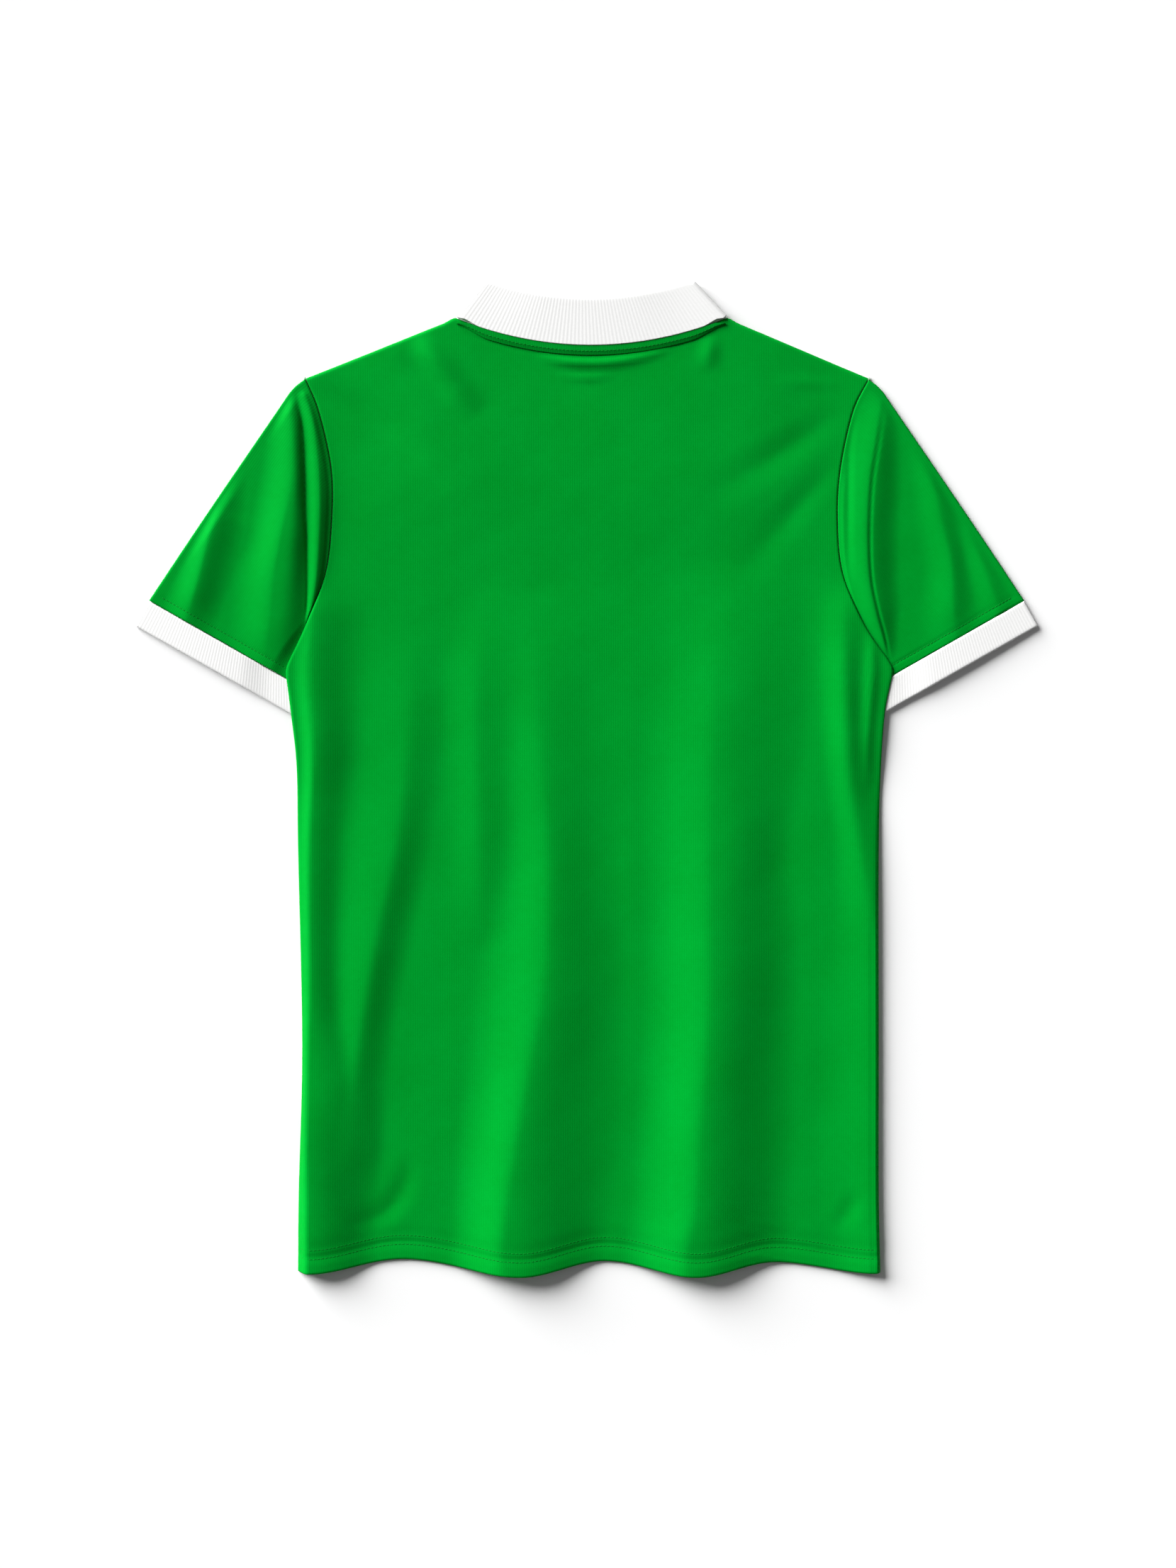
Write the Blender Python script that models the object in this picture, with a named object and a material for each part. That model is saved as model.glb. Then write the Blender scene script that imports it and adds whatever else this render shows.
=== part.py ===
"""Football jersey with a fold-over collar and cuffs, lying flat with its back upwards.

Eight sewn pieces: back, front, two sleeves, two cuffs, a collar and a strip on the neck seam.
The row frame has +X to the jersey's left-to-right as seen from above, +Y towards the collar and
+Z up out of the surface it lies on. The origin is the middle of its footprint, on that surface.
Lengths here are millimetres, and become metres when a vertex is placed.
"""

import math

import bmesh
import bpy
import numpy as np
from mathutils import Vector

MM = 0.001

# Walls, and the clearances kept between pieces and inside a flattened tube.
CLOTH = 1.2
RIB = 1.5
GAP = 0.3
SEAM_GAP = 0.5
TUBE_GAP = 0.5

# Levels that the back's underside rests at: over the front, and over the collar or a cuff.
BACK_REST = CLOTH + GAP
OVER_RIB = 2 * RIB + TUBE_GAP + GAP

# Body. The shoulder line runs from the tip to the neck point, and the neck is a shallow parabola.
CENTRE_X = 3.5
TIP_Y = 316.5
NECK_SHARE = 0.25
NECK_HALF = 108.0
NECK_TOP = 365.0
NECK_DROP = 21.5
NECK_POINT_HALF = 116.3
NECK_POINT_Y = 359.8
FRONT_HEM_INSET = 1.5
ARMPIT_Y = 85.0
ARMPIT_SHARE = 0.6
ARMHOLE_GAP = 0.8

# Half-widths of the body outwards from x = 0, on the armhole and then down the side.
BODY_EDGE = (
    # y, left, right
    (316.5, 222.0, 223.0),
    (290.0, 211.4, 210.5),
    (246.0, 201.8, 200.8),
    (206.0, 201.3, 198.3),
    (162.0, 206.4, 202.6),
    (120.0, 222.6, 220.4),
    (94.0, 234.8, 238.2),
    (ARMPIT_Y, 237.7, 242.0),
    (74.0, 236.6, 240.0),
    (52.0, 233.8, 235.8),
    (10.0, 229.3, 232.7),
    (-57.0, 228.2, 231.0),
    (-214.0, 224.8, 231.0),
    (-326.0, 227.6, 231.0),
    (-388.0, 228.2, 232.3),
)

# The hem's edge hangs lowest where a fold stands up: its lows and highs, from left to right.
HEM_WAVE = (
    # x, y
    (-240.0, -386.0),
    (-220.0, -391.2),
    (-145.0, -380.0),
    (-52.0, -393.4),
    (14.0, -381.5),
    (87.0, -393.4),
    (148.0, -382.3),
    (228.0, -391.2),
    (240.0, -388.0),
)

# Grid lines of the back, up from the hem: shares of the side's length, and how many to each.
BODY_ROWS = ((0.03, 2), (0.6, 11), (0.96, 13), (1.0, 2))

# Folds of the body: ridges of cloth that stand off the layer below.
BODY_FOLDS = {
    "middle_left": (
        # x, y, rise, reach to the left, reach to the right
        (-40, 150, 0.0, 60, 60),
        (-38, 60, 2.6, 46, 60),
        (-30, -80, 6.0, 46, 58),
        (-34, -169, 8.4, 58, 70),
        (-54, -281, 10.8, 50, 84),
        (-66, -370, 11.8, 44, 84),
        (-64, -400, 12.0, 50, 80),
    ),
    "left_shoulder": (
        (-76, 150, 0.0, 30, 60),
        (-86, 50, 2.0, 28, 54),
        (-84, -60, 1.8, 28, 40),
        (-84, -130, 0.0, 28, 40),
    ),
    "middle_right": (
        (118, 170, 0.0, 60, 70),
        (104, 60, 4.0, 60, 76),
        (98, -57, 7.0, 56, 66),
        (98, -169, 9.6, 54, 70),
        (90, -281, 11.4, 54, 76),
        (80, -370, 12.0, 52, 84),
        (80, -400, 12.0, 52, 80),
    ),
    "left_side": (
        (-213, 150, 1.2, 12, 30),
        (-219, 90, 3.0, 14, 36),
        (-216, 20, 4.8, 12, 40),
        (-219, -169, 5.8, 8, 34),
        (-221, -281, 9.0, 9, 60),
        (-221, -400, 9.0, 9, 58),
    ),
    "left_slant": (
        (-140, 120, 0.0, 60, 30),
        (-142, 27, 2.4, 64, 32),
        (-164, -113, 4.4, 56, 30),
        (-182, -225, 4.2, 38, 28),
        (-190, -330, 0.0, 30, 28),
    ),
    "right_side": (
        (203, 150, 0.0, 20, 16),
        (204, 70, 3.2, 22, 18),
        (210, -30, 3.8, 20, 16),
        (222, -113, 3.4, 32, 8),
        (225, -281, 3.8, 50, 6),
        (220, -375, 5.0, 34, 11),
        (220, -400, 5.4, 34, 11),
    ),
}

# The sleeve, measured outwards from x = 0.
SLEEVE_OUTER = ((222.4, 316.2), (233.0, 307.4), (246.0, 289.0), (300.0, 209.8), (346.0, 141.0))
UNDERARM = (226.0, 108.0)
CUFF_SEAM_IN = (223.0, 71.0)
CUFF_OUT = (357.2, 121.0)
CUFF_IN = (221.0, 44.0)
CUFF_LIFT = 1.5
TURN = 3

SLEEVE_FOLDS = {
    "left": {
        "beside_seam": (
            (222, 302, 1.2, 8, 9),
            (214, 262, 3.6, 10, 12),
            (211, 216, 4.6, 12, 14),
            (214, 156, 3.6, 9, 9),
            (223, 116, 0.6, 5, 4),
        ),
        "first": (
            (237, 300, 2.2, 10, 14),
            (232, 246, 5.4, 12, 26),
            (243, 180, 6.6, 25, 28),
            (249, 130, 5.4, 31, 34),
            (255, 84, 3.2, 32, 32),
        ),
        "outer": (
            (278, 254, 0.0, 16, 10),
            (294, 205, 3.6, 24, 14),
            (307, 156, 4.4, 26, 20),
            (320, 112, 3.4, 26, 22),
        ),
    },
    "right": {
        "beside_seam": (
            (234, 304, 0.4, 16, 14),
            (230, 237, 5.2, 28, 23),
            (226, 176, 6.0, 26, 24),
            (230, 132, 4.6, 18, 16),
            (237, 104, 0.0, 6, 8),
        ),
        "first": (
            (262, 270, 0.0, 14, 14),
            (281, 200, 2.2, 22, 16),
            (290, 130, 2.6, 28, 20),
            (294, 96, 2.0, 28, 20),
        ),
        "outer": (
            (300, 202, 0.0, 14, 12),
            (314, 166, 1.4, 16, 14),
            (332, 116, 1.8, 18, 16),
        ),
    },
}

# Collar: a band folded in two, its seam on the neckline and its fold outside it.
COLLAR_TOP = 393.8
COLLAR_TOP_X = 1.8
COLLAR_DIP = 14.0
COLLAR_HALF_TOP = 83.0
COLLAR_FRONT_SEAM_Y = 262.0
COLLAR_FRONT_DEPTH = 68.0
FRONT_MEET = 0.6
LEAF_LAP = 1.2
END_CLEAR = 1.2
FOLD_GAP = 0.5
RISE = 0.2
GREEN = (0.0, 0.31, 0.035, 1.0)
WHITE = (0.88, 0.88, 0.88, 1.0)

# Strip of the body's cloth on the neck seam, measured down from the neckline.
NECK_BAND = 1.0
NECK_BAND_TOP = 1.9
NECK_BAND_FOOT = 9.0
NECK_BAND_END = 5.0
NECK_BAND_HALF = 106.0

# ---- curves and surfaces ----------------------------------------------------------------------


def eased(value, start, end):
    """0 before start, 1 after end, and smooth between them, for numbers or arrays."""
    t = np.clip((value - start) / (end - start), 0.0, 1.0)
    return t * t * (3.0 - 2.0 * t)


def through(rows, steps=8):
    """Rows of numbers joined by a smooth curve, with so many steps between two rows."""
    rows = [np.array(row, float) for row in rows]
    padded = [2 * rows[0] - rows[1], *rows, 2 * rows[-1] - rows[-2]]
    found = []
    for before, start, end, after in zip(padded, padded[1:], padded[2:], padded[3:]):
        for step in range(steps):
            t = step / steps
            found.append(
                start
                + 0.5 * t * (end - before)
                + t * t * (before - 2.5 * start + 2.0 * end - 0.5 * after)
                + t * t * t * (1.5 * (start - end) + 0.5 * (after - before))
            )
    found.append(rows[-1])
    return np.array(found)


class Route:
    """A plan curve that is read by its share of length."""

    def __init__(self, points):
        self.points = np.array(points, float)
        steps = np.linalg.norm(np.diff(self.points, axis=0), axis=1)
        self.length = np.concatenate([[0.0], np.cumsum(steps)])

    def at(self, share):
        along = share * self.length[-1]
        return np.array([np.interp(along, self.length, self.points[:, i]) for i in (0, 1)])

    def inset(self, distance):
        """The same route moved to its left by a distance."""
        ahead = np.gradient(self.points, axis=0)
        ahead /= np.linalg.norm(ahead, axis=1)[:, None]
        return Route(self.points + distance * np.stack([-ahead[:, 1], ahead[:, 0]], axis=1))


class Chain:
    """Routes end to end, each up to its own share, so that grid lines can meet at the corners."""

    def __init__(self, *stretches):
        self.stretches = stretches

    def at(self, share):
        start = 0.0
        for end, route in self.stretches:
            if share <= end + 1e-9:
                return route.at((share - start) / (end - start))
            start = end


def patch(bottom, top, left, right, u, v):
    """A point of the sheet that spans four routes: bottom and top run with u, the sides with v."""
    across = (1 - v) * bottom.at(u) + v * top.at(u)
    along = (1 - u) * left.at(v) + u * right.at(v)
    corners = (1 - v) * ((1 - u) * bottom.at(0) + u * bottom.at(1)) + v * (
        (1 - u) * top.at(0) + u * top.at(1)
    )
    return across + along - corners


def fold_height(rows, x, y):
    """How far one fold lifts the cloth at a point. Its sides are half waves of their own reach."""
    line = through(rows, 6)
    best = None
    for start, end in zip(line, line[1:]):
        run = end[:2] - start[:2]
        share = ((x - start[0]) * run[0] + (y - start[1]) * run[1]) / (run @ run)
        share = min(max(share, 0.0), 1.0)
        here = start + share * (end - start)
        offset = math.hypot(x - here[0], y - here[1])
        if best is None or offset < best[0]:
            # The rows run down the cloth, so a point left of the run lies to the east.
            east = run[0] * (y - here[1]) - run[1] * (x - here[0]) > 0
            best = (offset, here[2], here[4] if east else here[3])
    offset, rise, reach = best
    return 0.5 * rise * (1 + math.cos(math.pi * min(offset / reach, 1.0) ** 0.8))


def folds_height(folds, x, y):
    return max(fold_height(rows, x, y) for rows in folds.values())


# ---- the body's outline -------------------------------------------------------------------------


def edge_points(side):
    """The body's edge on one side from the shoulder tip down to the hem."""
    sign, column = (-1, 1) if side == "left" else (1, 2)
    return through([(sign * row[column], row[0]) for row in BODY_EDGE])


def neck_y(x):
    share = (x - CENTRE_X) / NECK_HALF
    return NECK_TOP - NECK_DROP + NECK_DROP * share * share


def body_height(x, y):
    """Level of the back's underside above the front: its folds, and the layers that lie under it."""
    collar = eased(y, 150.0, 250.0) * (1 - eased(abs(x - CENTRE_X), 118.0, 200.0))
    armpit = eased(abs(x), 170.0, 214.0) * eased(y, -20.0, 40.0) * (1 - eased(y, 128.0, 165.0))
    under = (OVER_RIB - BACK_REST) * max(collar, armpit)
    return BACK_REST + under + folds_height(BODY_FOLDS, x, y)


def hem_y(x):
    for (start, low), (end, high) in zip(HEM_WAVE, HEM_WAVE[1:]):
        if x <= end:
            break
    return low + (high - low) * float(eased(x, start, end))


def neck_end(sign):
    """Where the neckline ends on one side, at the top of the shoulder."""
    return CENTRE_X + sign * NECK_HALF, NECK_TOP


def shoulder(sign):
    """The shoulder line from its tip in to the neck."""
    tip = (BODY_EDGE[0][1 if sign < 0 else 2] * sign, TIP_Y)
    point = (CENTRE_X + sign * NECK_POINT_HALF, NECK_POINT_Y)
    x, y = neck_end(sign)
    return Route([tip, point, (x, y - SEAM_GAP)])


def back_top():
    neck = Route([(x, neck_y(x) - SEAM_GAP) for x in np.linspace(neck_end(-1)[0], neck_end(1)[0], 41)])
    right = Route(shoulder(1).points[::-1])
    return Chain((NECK_SHARE, shoulder(-1)), (1 - NECK_SHARE, neck), (1.0, right))


# ---- making objects -----------------------------------------------------------------------------


def clear_scene():
    for old in list(bpy.data.objects):
        bpy.data.objects.remove(old, do_unlink=True)


def fabric(name, colour, roughness):
    material = bpy.data.materials.new(name)
    material.use_nodes = True
    shader = material.node_tree.nodes["Principled BSDF"]
    shader.inputs["Base Color"].default_value = colour
    shader.inputs["Roughness"].default_value = roughness
    shader.inputs["Metallic"].default_value = 0.0
    return material


def cloth(name, columns, rows, place, material, tube=False):
    """A walled sheet: one grid for each face of its wall, and a strip of faces round its edge.

    place(column, row) gives the sheet's two faces there as a pair of points in millimetres. In a
    tube the last column closes on the first.
    """
    points = [[place(column, row) for row in rows] for column in columns]
    if tube:
        points.append(points[0])
    wide, high = len(points) - 1, len(rows) - 1
    sheet = bmesh.new()
    at = {}
    for face in (0, 1):
        grid = bmesh.ops.create_grid(sheet, x_segments=wide, y_segments=high, size=1.0)
        for vertex in grid["verts"]:
            column, row = round((vertex.co.x + 1) / 2 * wide), round((vertex.co.y + 1) / 2 * high)
            vertex.co = Vector(points[column][row][face]) * MM
            at[face, column, row] = vertex
    rim = [((i, k), (i + 1, k)) for i in range(wide) for k in (0, high)]
    if not tube:
        rim += [((i, k), (i, k + 1)) for i in (0, wide) for k in range(high)]
    for start, end in rim:
        sheet.faces.new([at[0, *start], at[0, *end], at[1, *end], at[1, *start]])
    bmesh.ops.remove_doubles(sheet, verts=sheet.verts, dist=0.01 * MM)
    bmesh.ops.recalc_face_normals(sheet, faces=sheet.faces)
    mesh = bpy.data.meshes.new(name)
    sheet.to_mesh(mesh)
    sheet.free()
    mesh.materials.append(material)
    piece = bpy.data.objects.new(name, mesh)
    bpy.data.collections["football_jersey"].objects.link(piece)
    return piece


def level(x, y, z, wall):
    """The two faces of a wall lying at a level."""
    return (x, y, z), (x, y, z + wall)


def spread(*stretches):
    """Shares from 0 to 1 in stretches, each given as (its end, how many steps)."""
    shares, start = [0.0], 0.0
    for end, steps in stretches:
        shares += [start + (end - start) * (k + 1) / steps for k in range(steps)]
        start = end
    return shares


# ---- pieces -------------------------------------------------------------------------------------


def side_route(side):
    """The body's edge from the hem up to the shoulder, with the armpit at its own share."""
    points = edge_points(side)[::-1]
    points[0][1] = hem_y(points[0][0])
    below = [p for p in points if p[1] < ARMPIT_Y] + [armpit(side)]
    above = [armpit(side)] + [p for p in points if p[1] > ARMPIT_Y]
    return Chain((ARMPIT_SHARE, Route(below)), (1.0, Route(above)))


def armpit(side):
    return next(p for p in edge_points(side) if p[1] <= ARMPIT_Y + 1e-6)


def back(material):
    left, right = side_route("left"), side_route("right")
    bottom = Route([(x, hem_y(x)) for x in np.linspace(left.at(0)[0], right.at(0)[0], 60)])
    top = back_top()

    def place(u, v):
        x, y = patch(bottom, top, left, right, u, v)
        return level(x, y, body_height(x, y), CLOTH)

    columns = spread((0.012, 1), (0.05, 2), (0.25, 5), (0.75, 16), (0.95, 5), (0.988, 2), (1.0, 1))
    return cloth("back", columns, spread(*BODY_ROWS), place, material)


def front_side(side):
    """The front's edge from the hem up, drawn in at the armpit where the sleeve and cuff lie."""
    sign = -1 if side == "left" else 1
    edge = edge_points(side)[::-1]
    hem = (edge[0][0], hem_y(edge[0][0]) + FRONT_HEM_INSET)
    lower = [hem] + [(x, y) for x, y in edge if -370 < y < CUFF_IN[1] - 22]
    hollow = [(sign * (CUFF_IN[0] - 4), CUFF_IN[1] - 4), (sign * (UNDERARM[0] - 14), UNDERARM[1] + 6)]
    armhole = [(x - sign * SEAM_GAP, y) for x, y in edge if UNDERARM[1] + 26 < y]
    drawn_in = Route([lower[-1], *hollow, armhole[0]])
    return Chain((0.5, Route(lower)), (0.65, drawn_in), (1.0, Route(armhole)))


def front(material):
    """The front lies under the back, flat on the surface, with the neck cut down to a point."""
    left, right = front_side("left"), front_side("right")
    hem = np.linspace(left.at(0)[0], right.at(0)[0], 60)
    bottom = Route([(x, hem_y(x) + FRONT_HEM_INSET) for x in hem])
    point = (CENTRE_X, COLLAR_FRONT_SEAM_Y - SEAM_GAP)
    down, up = Route([neck_end(-1), point]), Route([point, neck_end(1)])
    tips = [Route([left.at(1), *shoulder(-1).points[1:]]), Route([*shoulder(1).points[:0:-1], right.at(1)])]
    top = Chain((NECK_SHARE, tips[0]), (0.5, down), (1 - NECK_SHARE, up), (1.0, tips[1]))

    def place(u, v):
        return level(*patch(bottom, top, left, right, u, v), 0.0, CLOTH)

    columns = spread((0.25, 3), (0.5, 5), (0.75, 5), (1.0, 3))
    return cloth("front", columns, spread((0.5, 4), (0.65, 3), (1.0, 7)), place, material)


def neck_band(material):
    """A narrow strip on the back along the neck seam, where the collar's leaf ends."""

    def place(u, v):
        x = CENTRE_X + (2 * u - 1) * NECK_BAND_HALF
        foot = NECK_BAND_FOOT + (NECK_BAND_END - NECK_BAND_FOOT) * eased(abs(2 * u - 1), 0.75, 1.0)
        upper = min(neck_y(x) - NECK_BAND_TOP, NECK_POINT_Y)
        lower = min(neck_y(x) - foot, NECK_POINT_Y - 0.8)
        y = upper + v * (lower - upper)
        return level(x, y, body_height(x, y) + CLOTH + GAP, NECK_BAND)

    return cloth("neck_band", spread((1.0, 22)), spread((1.0, 2)), place, material)


def flat_tube(name, spine, lift, wall, columns, rows, material):
    """A tube pressed flat: a lower layer on the surface, an upper one with its folds, and round edges.

    spine(a, l) gives a plan point, with a from the outer edge to the inner and l along the tube.
    """
    middle = wall + TUBE_GAP / 2

    def place(around, row):
        kind, share = around
        a = {"upper": share, "lower": 1 - share, "outer": 0.0, "inner": 1.0}[kind]
        x, y = spine(a, row)
        if kind == "upper":
            low, high = level(x, y, wall + TUBE_GAP + lift(x, y, a, row), wall)
            return low, high
        if kind == "lower":
            low, high = level(x, y, 0.0, wall)
            return high, low
        # On a rounded edge: inner goes down from the upper layer, outer comes up to it again.
        outwards = spine(a, row) - spine(0.5, row)
        outwards /= np.linalg.norm(outwards)
        angle = math.pi * share
        turned = math.cos(angle) if kind == "inner" else -math.cos(angle)
        found = []
        for radius in (TUBE_GAP / 2, TUBE_GAP / 2 + wall):
            px, py = (x, y) + outwards * radius * math.sin(angle)
            found.append((px, py, middle + radius * turned))
        return tuple(found)

    arounds = [("upper", a) for a in columns]
    arounds += [("inner", k / TURN) for k in range(1, TURN)]
    arounds += [("lower", a) for a in spread((1.0, 5))]
    arounds += [("outer", k / TURN) for k in range(1, TURN)]
    return cloth(name, arounds, rows, place, material, tube=True)


def mirrored(points, sign):
    return [(sign * x, y) for x, y in points]


def sleeve(side, material):
    sign = -1 if side == "left" else 1
    reach = CLOTH + TUBE_GAP / 2
    stations = [side_route(side).at(v) for v in spread(*BODY_ROWS)[::-1]]
    armhole = [p for p in stations if p[1] > UNDERARM[1] + 14]
    armhole = Route([*armhole, (sign * UNDERARM[0], UNDERARM[1])])
    outer = Route(mirrored(through(SLEEVE_OUTER), sign)).inset(-sign * reach)
    outer = Route([*outer.points[:0:-1], armhole.at(0)])
    inner = Route([(sign * CUFF_SEAM_IN[0], CUFF_SEAM_IN[1]), (sign * UNDERARM[0], UNDERARM[1])])
    seam = Route([outer.at(0), inner.at(0)])
    off = sign * ARMHOLE_GAP

    def spine(a, row):
        return patch(seam, armhole, outer, inner, a, 1 - row) + (off * (1 - row), 0)

    def lift(x, y, a, row):
        calm = eased(a, 0.0, 0.06) * (1 - eased(a, 0.78, 0.86)) * eased(row, 0.0, 0.06)
        return folds_height(SLEEVE_FOLDS[side], sign * x, y) * calm

    columns = spread((0.06, 1), (0.94, 18), (1.0, 1))
    rows = spread((0.06, 1), (0.42, 6), (0.94, 5), (1.0, 1))
    return flat_tube(f"sleeve_{side}", spine, lift, CLOTH, columns, rows, material)


def cuff(side, material):
    sign = -1 if side == "left" else 1
    radius = RIB + TUBE_GAP / 2
    upper = Route(mirrored([SLEEVE_OUTER[-1], CUFF_SEAM_IN], sign))
    lower = Route(mirrored([CUFF_OUT, CUFF_IN], sign))
    width = np.linalg.norm(upper.at(1) - upper.at(0))
    down = lower.at(0.5) - upper.at(0.5)
    start = down / np.linalg.norm(down) * ARMHOLE_GAP

    def spine(a, row):
        inside = radius / width + a * (1 - 2 * radius / width)
        top = upper.at(inside) + start
        return top + row * (lower.at(inside) - top)

    def lift(x, y, a, row):
        return CUFF_LIFT * math.sin(math.pi * a) * (1 - eased(a, 0.6, 0.8))

    columns = spread((0.06, 1), (0.94, 8), (1.0, 1))
    return flat_tube(f"cuff_{side}", spine, lift, RIB, columns, spread((1.0, 2)), material)


def collar(material):
    """A folded band round the neck: stations from the front's point, round the sides, to the back.

    Each station has a seam point, a fold point, how far its face has turned over, the way to the
    side there, and how much the leaf laps over the body.
    """
    reach_out = FOLD_GAP + 2 * RIB

    def pair(share):
        x = CENTRE_X + NECK_HALF * share
        fold = (COLLAR_TOP_X + COLLAR_HALF_TOP * share, COLLAR_TOP - COLLAR_DIP * (1 - share * share))
        return np.array((x, neck_y(x))), np.array(fold)

    halves = []
    for side in (-1, 1):
        seam, fold = pair(side)
        edge = (fold - seam) / np.linalg.norm(fold - seam)
        away = np.array((-edge[1], edge[0])) * -side
        seam, fold = seam - away * reach_out, fold - away * reach_out
        seam_end = np.array((CENTRE_X + side * FRONT_MEET, COLLAR_FRONT_SEAM_Y))
        fold_end = seam_end + (0, COLLAR_FRONT_DEPTH)
        front = [
            (seam + k / 5 * (seam_end - seam), fold + k / 5 * (fold_end - fold), math.pi, away, 0.0)
            for k in range(5, 0, -1)
        ]
        halves.append(front + [(seam, fold, math.pi * k / 5, away, 0.0) for k in range(5, -1, -1)])
    across = []
    for k in range(1, 14):
        share = (2 * k / 14 - 1) * 0.97
        lap = eased(1 - abs(share), 0.05, 0.2)
        across.append((*pair(share), 0.0, np.array((0.0, 0.0)), lap))
    stations = [*halves[0], *across, *halves[1][::-1]]

    def place(around, station):
        seam, fold, angle, away, lap = station
        width = np.linalg.norm(fold - seam)
        ahead = (fold - seam) / width
        layer, share = around
        end = SEAM_GAP + END_CLEAR * (1 - lap) if layer == "stand" else END_CLEAR - lap * (END_CLEAR + LEAF_LAP)
        found = []
        for radius in (FOLD_GAP / 2, FOLD_GAP / 2 + RIB):
            turn = width - FOLD_GAP / 2 - RIB
            if layer == "fold":
                reach, offset = turn + radius * math.sin(math.pi * share), -radius * math.cos(math.pi * share)
            elif layer == "stand":
                reach, offset = end + (turn - end) * share, -radius
            else:
                reach, offset = turn + (end - turn) * share, radius
            offset += FOLD_GAP / 2 + RIB + RISE
            x, y = seam + ahead * reach + away * offset * math.sin(angle)
            found.append((x, y, FOLD_GAP + 2 * RIB + RISE + offset * math.cos(angle)))
        return tuple(found)

    arounds = [("stand", a) for a in (0.0, 0.5, 1.0)]
    arounds += [("fold", k / 4) for k in (1, 2, 3)]
    arounds += [("leaf", a) for a in (0.0, 0.5, 1.0)]
    return cloth("collar", arounds, stations, place, material)


def main():
    clear_scene()
    bpy.context.scene.collection.children.link(bpy.data.collections.new("football_jersey"))
    green = fabric("green_polyester_knit", GREEN, 0.5)
    white = fabric("white_rib_knit", WHITE, 0.8)
    back(green)
    front(green)
    neck_band(green)
    for side in ("left", "right"):
        sleeve(side, green)
        cuff(side, white)
    collar(white)


main()
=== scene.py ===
# %% [markdown]
# # A football jersey laid flat
#
# This notebook dresses a simple model of a short-sleeved football jersey. The jersey lies front down,
# so its back shows: a satin green knit with a white fold-over collar and white cuffs. The model it
# starts from has every panel as a plain solid. Each panel gets a finer cloth here, of the same size
# and in the same place, with its folds, seams, stitches and knit.
#
# Sizes in the tables are millimetres. They become metres when a mesh is made.

# %% Load the plain model
import math

import bpy
import numpy as np
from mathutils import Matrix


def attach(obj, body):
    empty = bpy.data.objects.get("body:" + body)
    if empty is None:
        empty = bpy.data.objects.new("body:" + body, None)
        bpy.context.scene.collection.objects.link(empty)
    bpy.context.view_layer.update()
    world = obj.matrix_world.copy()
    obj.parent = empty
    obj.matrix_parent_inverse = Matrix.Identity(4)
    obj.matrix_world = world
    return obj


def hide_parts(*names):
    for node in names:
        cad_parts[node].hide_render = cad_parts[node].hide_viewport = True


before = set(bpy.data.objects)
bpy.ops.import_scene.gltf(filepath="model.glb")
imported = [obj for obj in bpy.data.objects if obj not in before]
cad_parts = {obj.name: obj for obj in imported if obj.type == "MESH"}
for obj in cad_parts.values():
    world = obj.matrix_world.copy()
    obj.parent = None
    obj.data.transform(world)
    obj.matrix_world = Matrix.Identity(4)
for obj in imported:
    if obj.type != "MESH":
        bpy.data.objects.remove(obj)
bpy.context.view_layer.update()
MM = 0.001

# %% [markdown]
# ## Camera
#
# A jersey laid on a table is seen square on from straight above. An 85 mm lens at about three metres
# keeps its outline free of perspective, as a shop's table camera does.

# %% Camera straight above
VIEW_CENTRE = (1.1, -4.2)
VIEW_HEIGHT = 1238.7
LENS = 85.0
SENSOR = 36.0
VIEW_LEVEL = 5.0

camera_data = bpy.data.cameras.new("camera")
camera_data.lens = LENS
camera_data.sensor_width = SENSOR
camera = bpy.data.objects.new("camera", camera_data)
# The view is as high as VIEW_HEIGHT at a level between the table and the folds' crests.
distance = VIEW_HEIGHT * LENS / SENSOR + VIEW_LEVEL
camera.location = (VIEW_CENTRE[0] * MM, VIEW_CENTRE[1] * MM, distance * MM)
bpy.context.scene.collection.objects.link(camera)
bpy.context.scene.camera = camera
print("camera height, m:", round(distance * MM, 3))

# %% [markdown]
# ## Light and table
#
# The folds are only a centimetre high, so a light from straight above would hide them. A low key light
# from the upper left brightens each slope that faces it and darkens each slope that turns away. A pale
# sky fills the rest, and a wide angle on the key gives soft shadow edges. The Standard view keeps the
# cloth's own colours. The table is a large one, and a pale wall stands far behind it, so that a view
# from low down has no dark horizon.

# %% Key light, sky, table and wall
bpy.context.scene.view_settings.view_transform = "Standard"

KEY_HEIGHT = math.radians(18.0)
KEY_FROM = math.radians(140.0)
KEY_WIDTH = math.radians(46.0)
KEY_POWER = 9.9
SKY_POWER = 0.14
TABLE_SIZE = 60.0
TABLE_Z = -0.0002
WALL_RADIUS, WALL_HEIGHT = 28.0, 20.0

key_data = bpy.data.lights.new("key", "SUN")
key_data.energy = KEY_POWER
key_data.angle = KEY_WIDTH
key = bpy.data.objects.new("key", key_data)
key.rotation_euler = (0.0, math.radians(90.0) - KEY_HEIGHT, KEY_FROM)
bpy.context.scene.collection.objects.link(key)

sky = bpy.data.worlds.new("sky")
sky.use_nodes = True
sky.node_tree.nodes["Background"].inputs["Color"].default_value = (1.0, 1.0, 1.0, 1.0)
sky.node_tree.nodes["Background"].inputs["Strength"].default_value = SKY_POWER
bpy.context.scene.world = sky

bpy.ops.mesh.primitive_plane_add(size=TABLE_SIZE, location=(0.0, 0.0, TABLE_Z))
table = bpy.context.object
table.name = "table"

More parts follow.
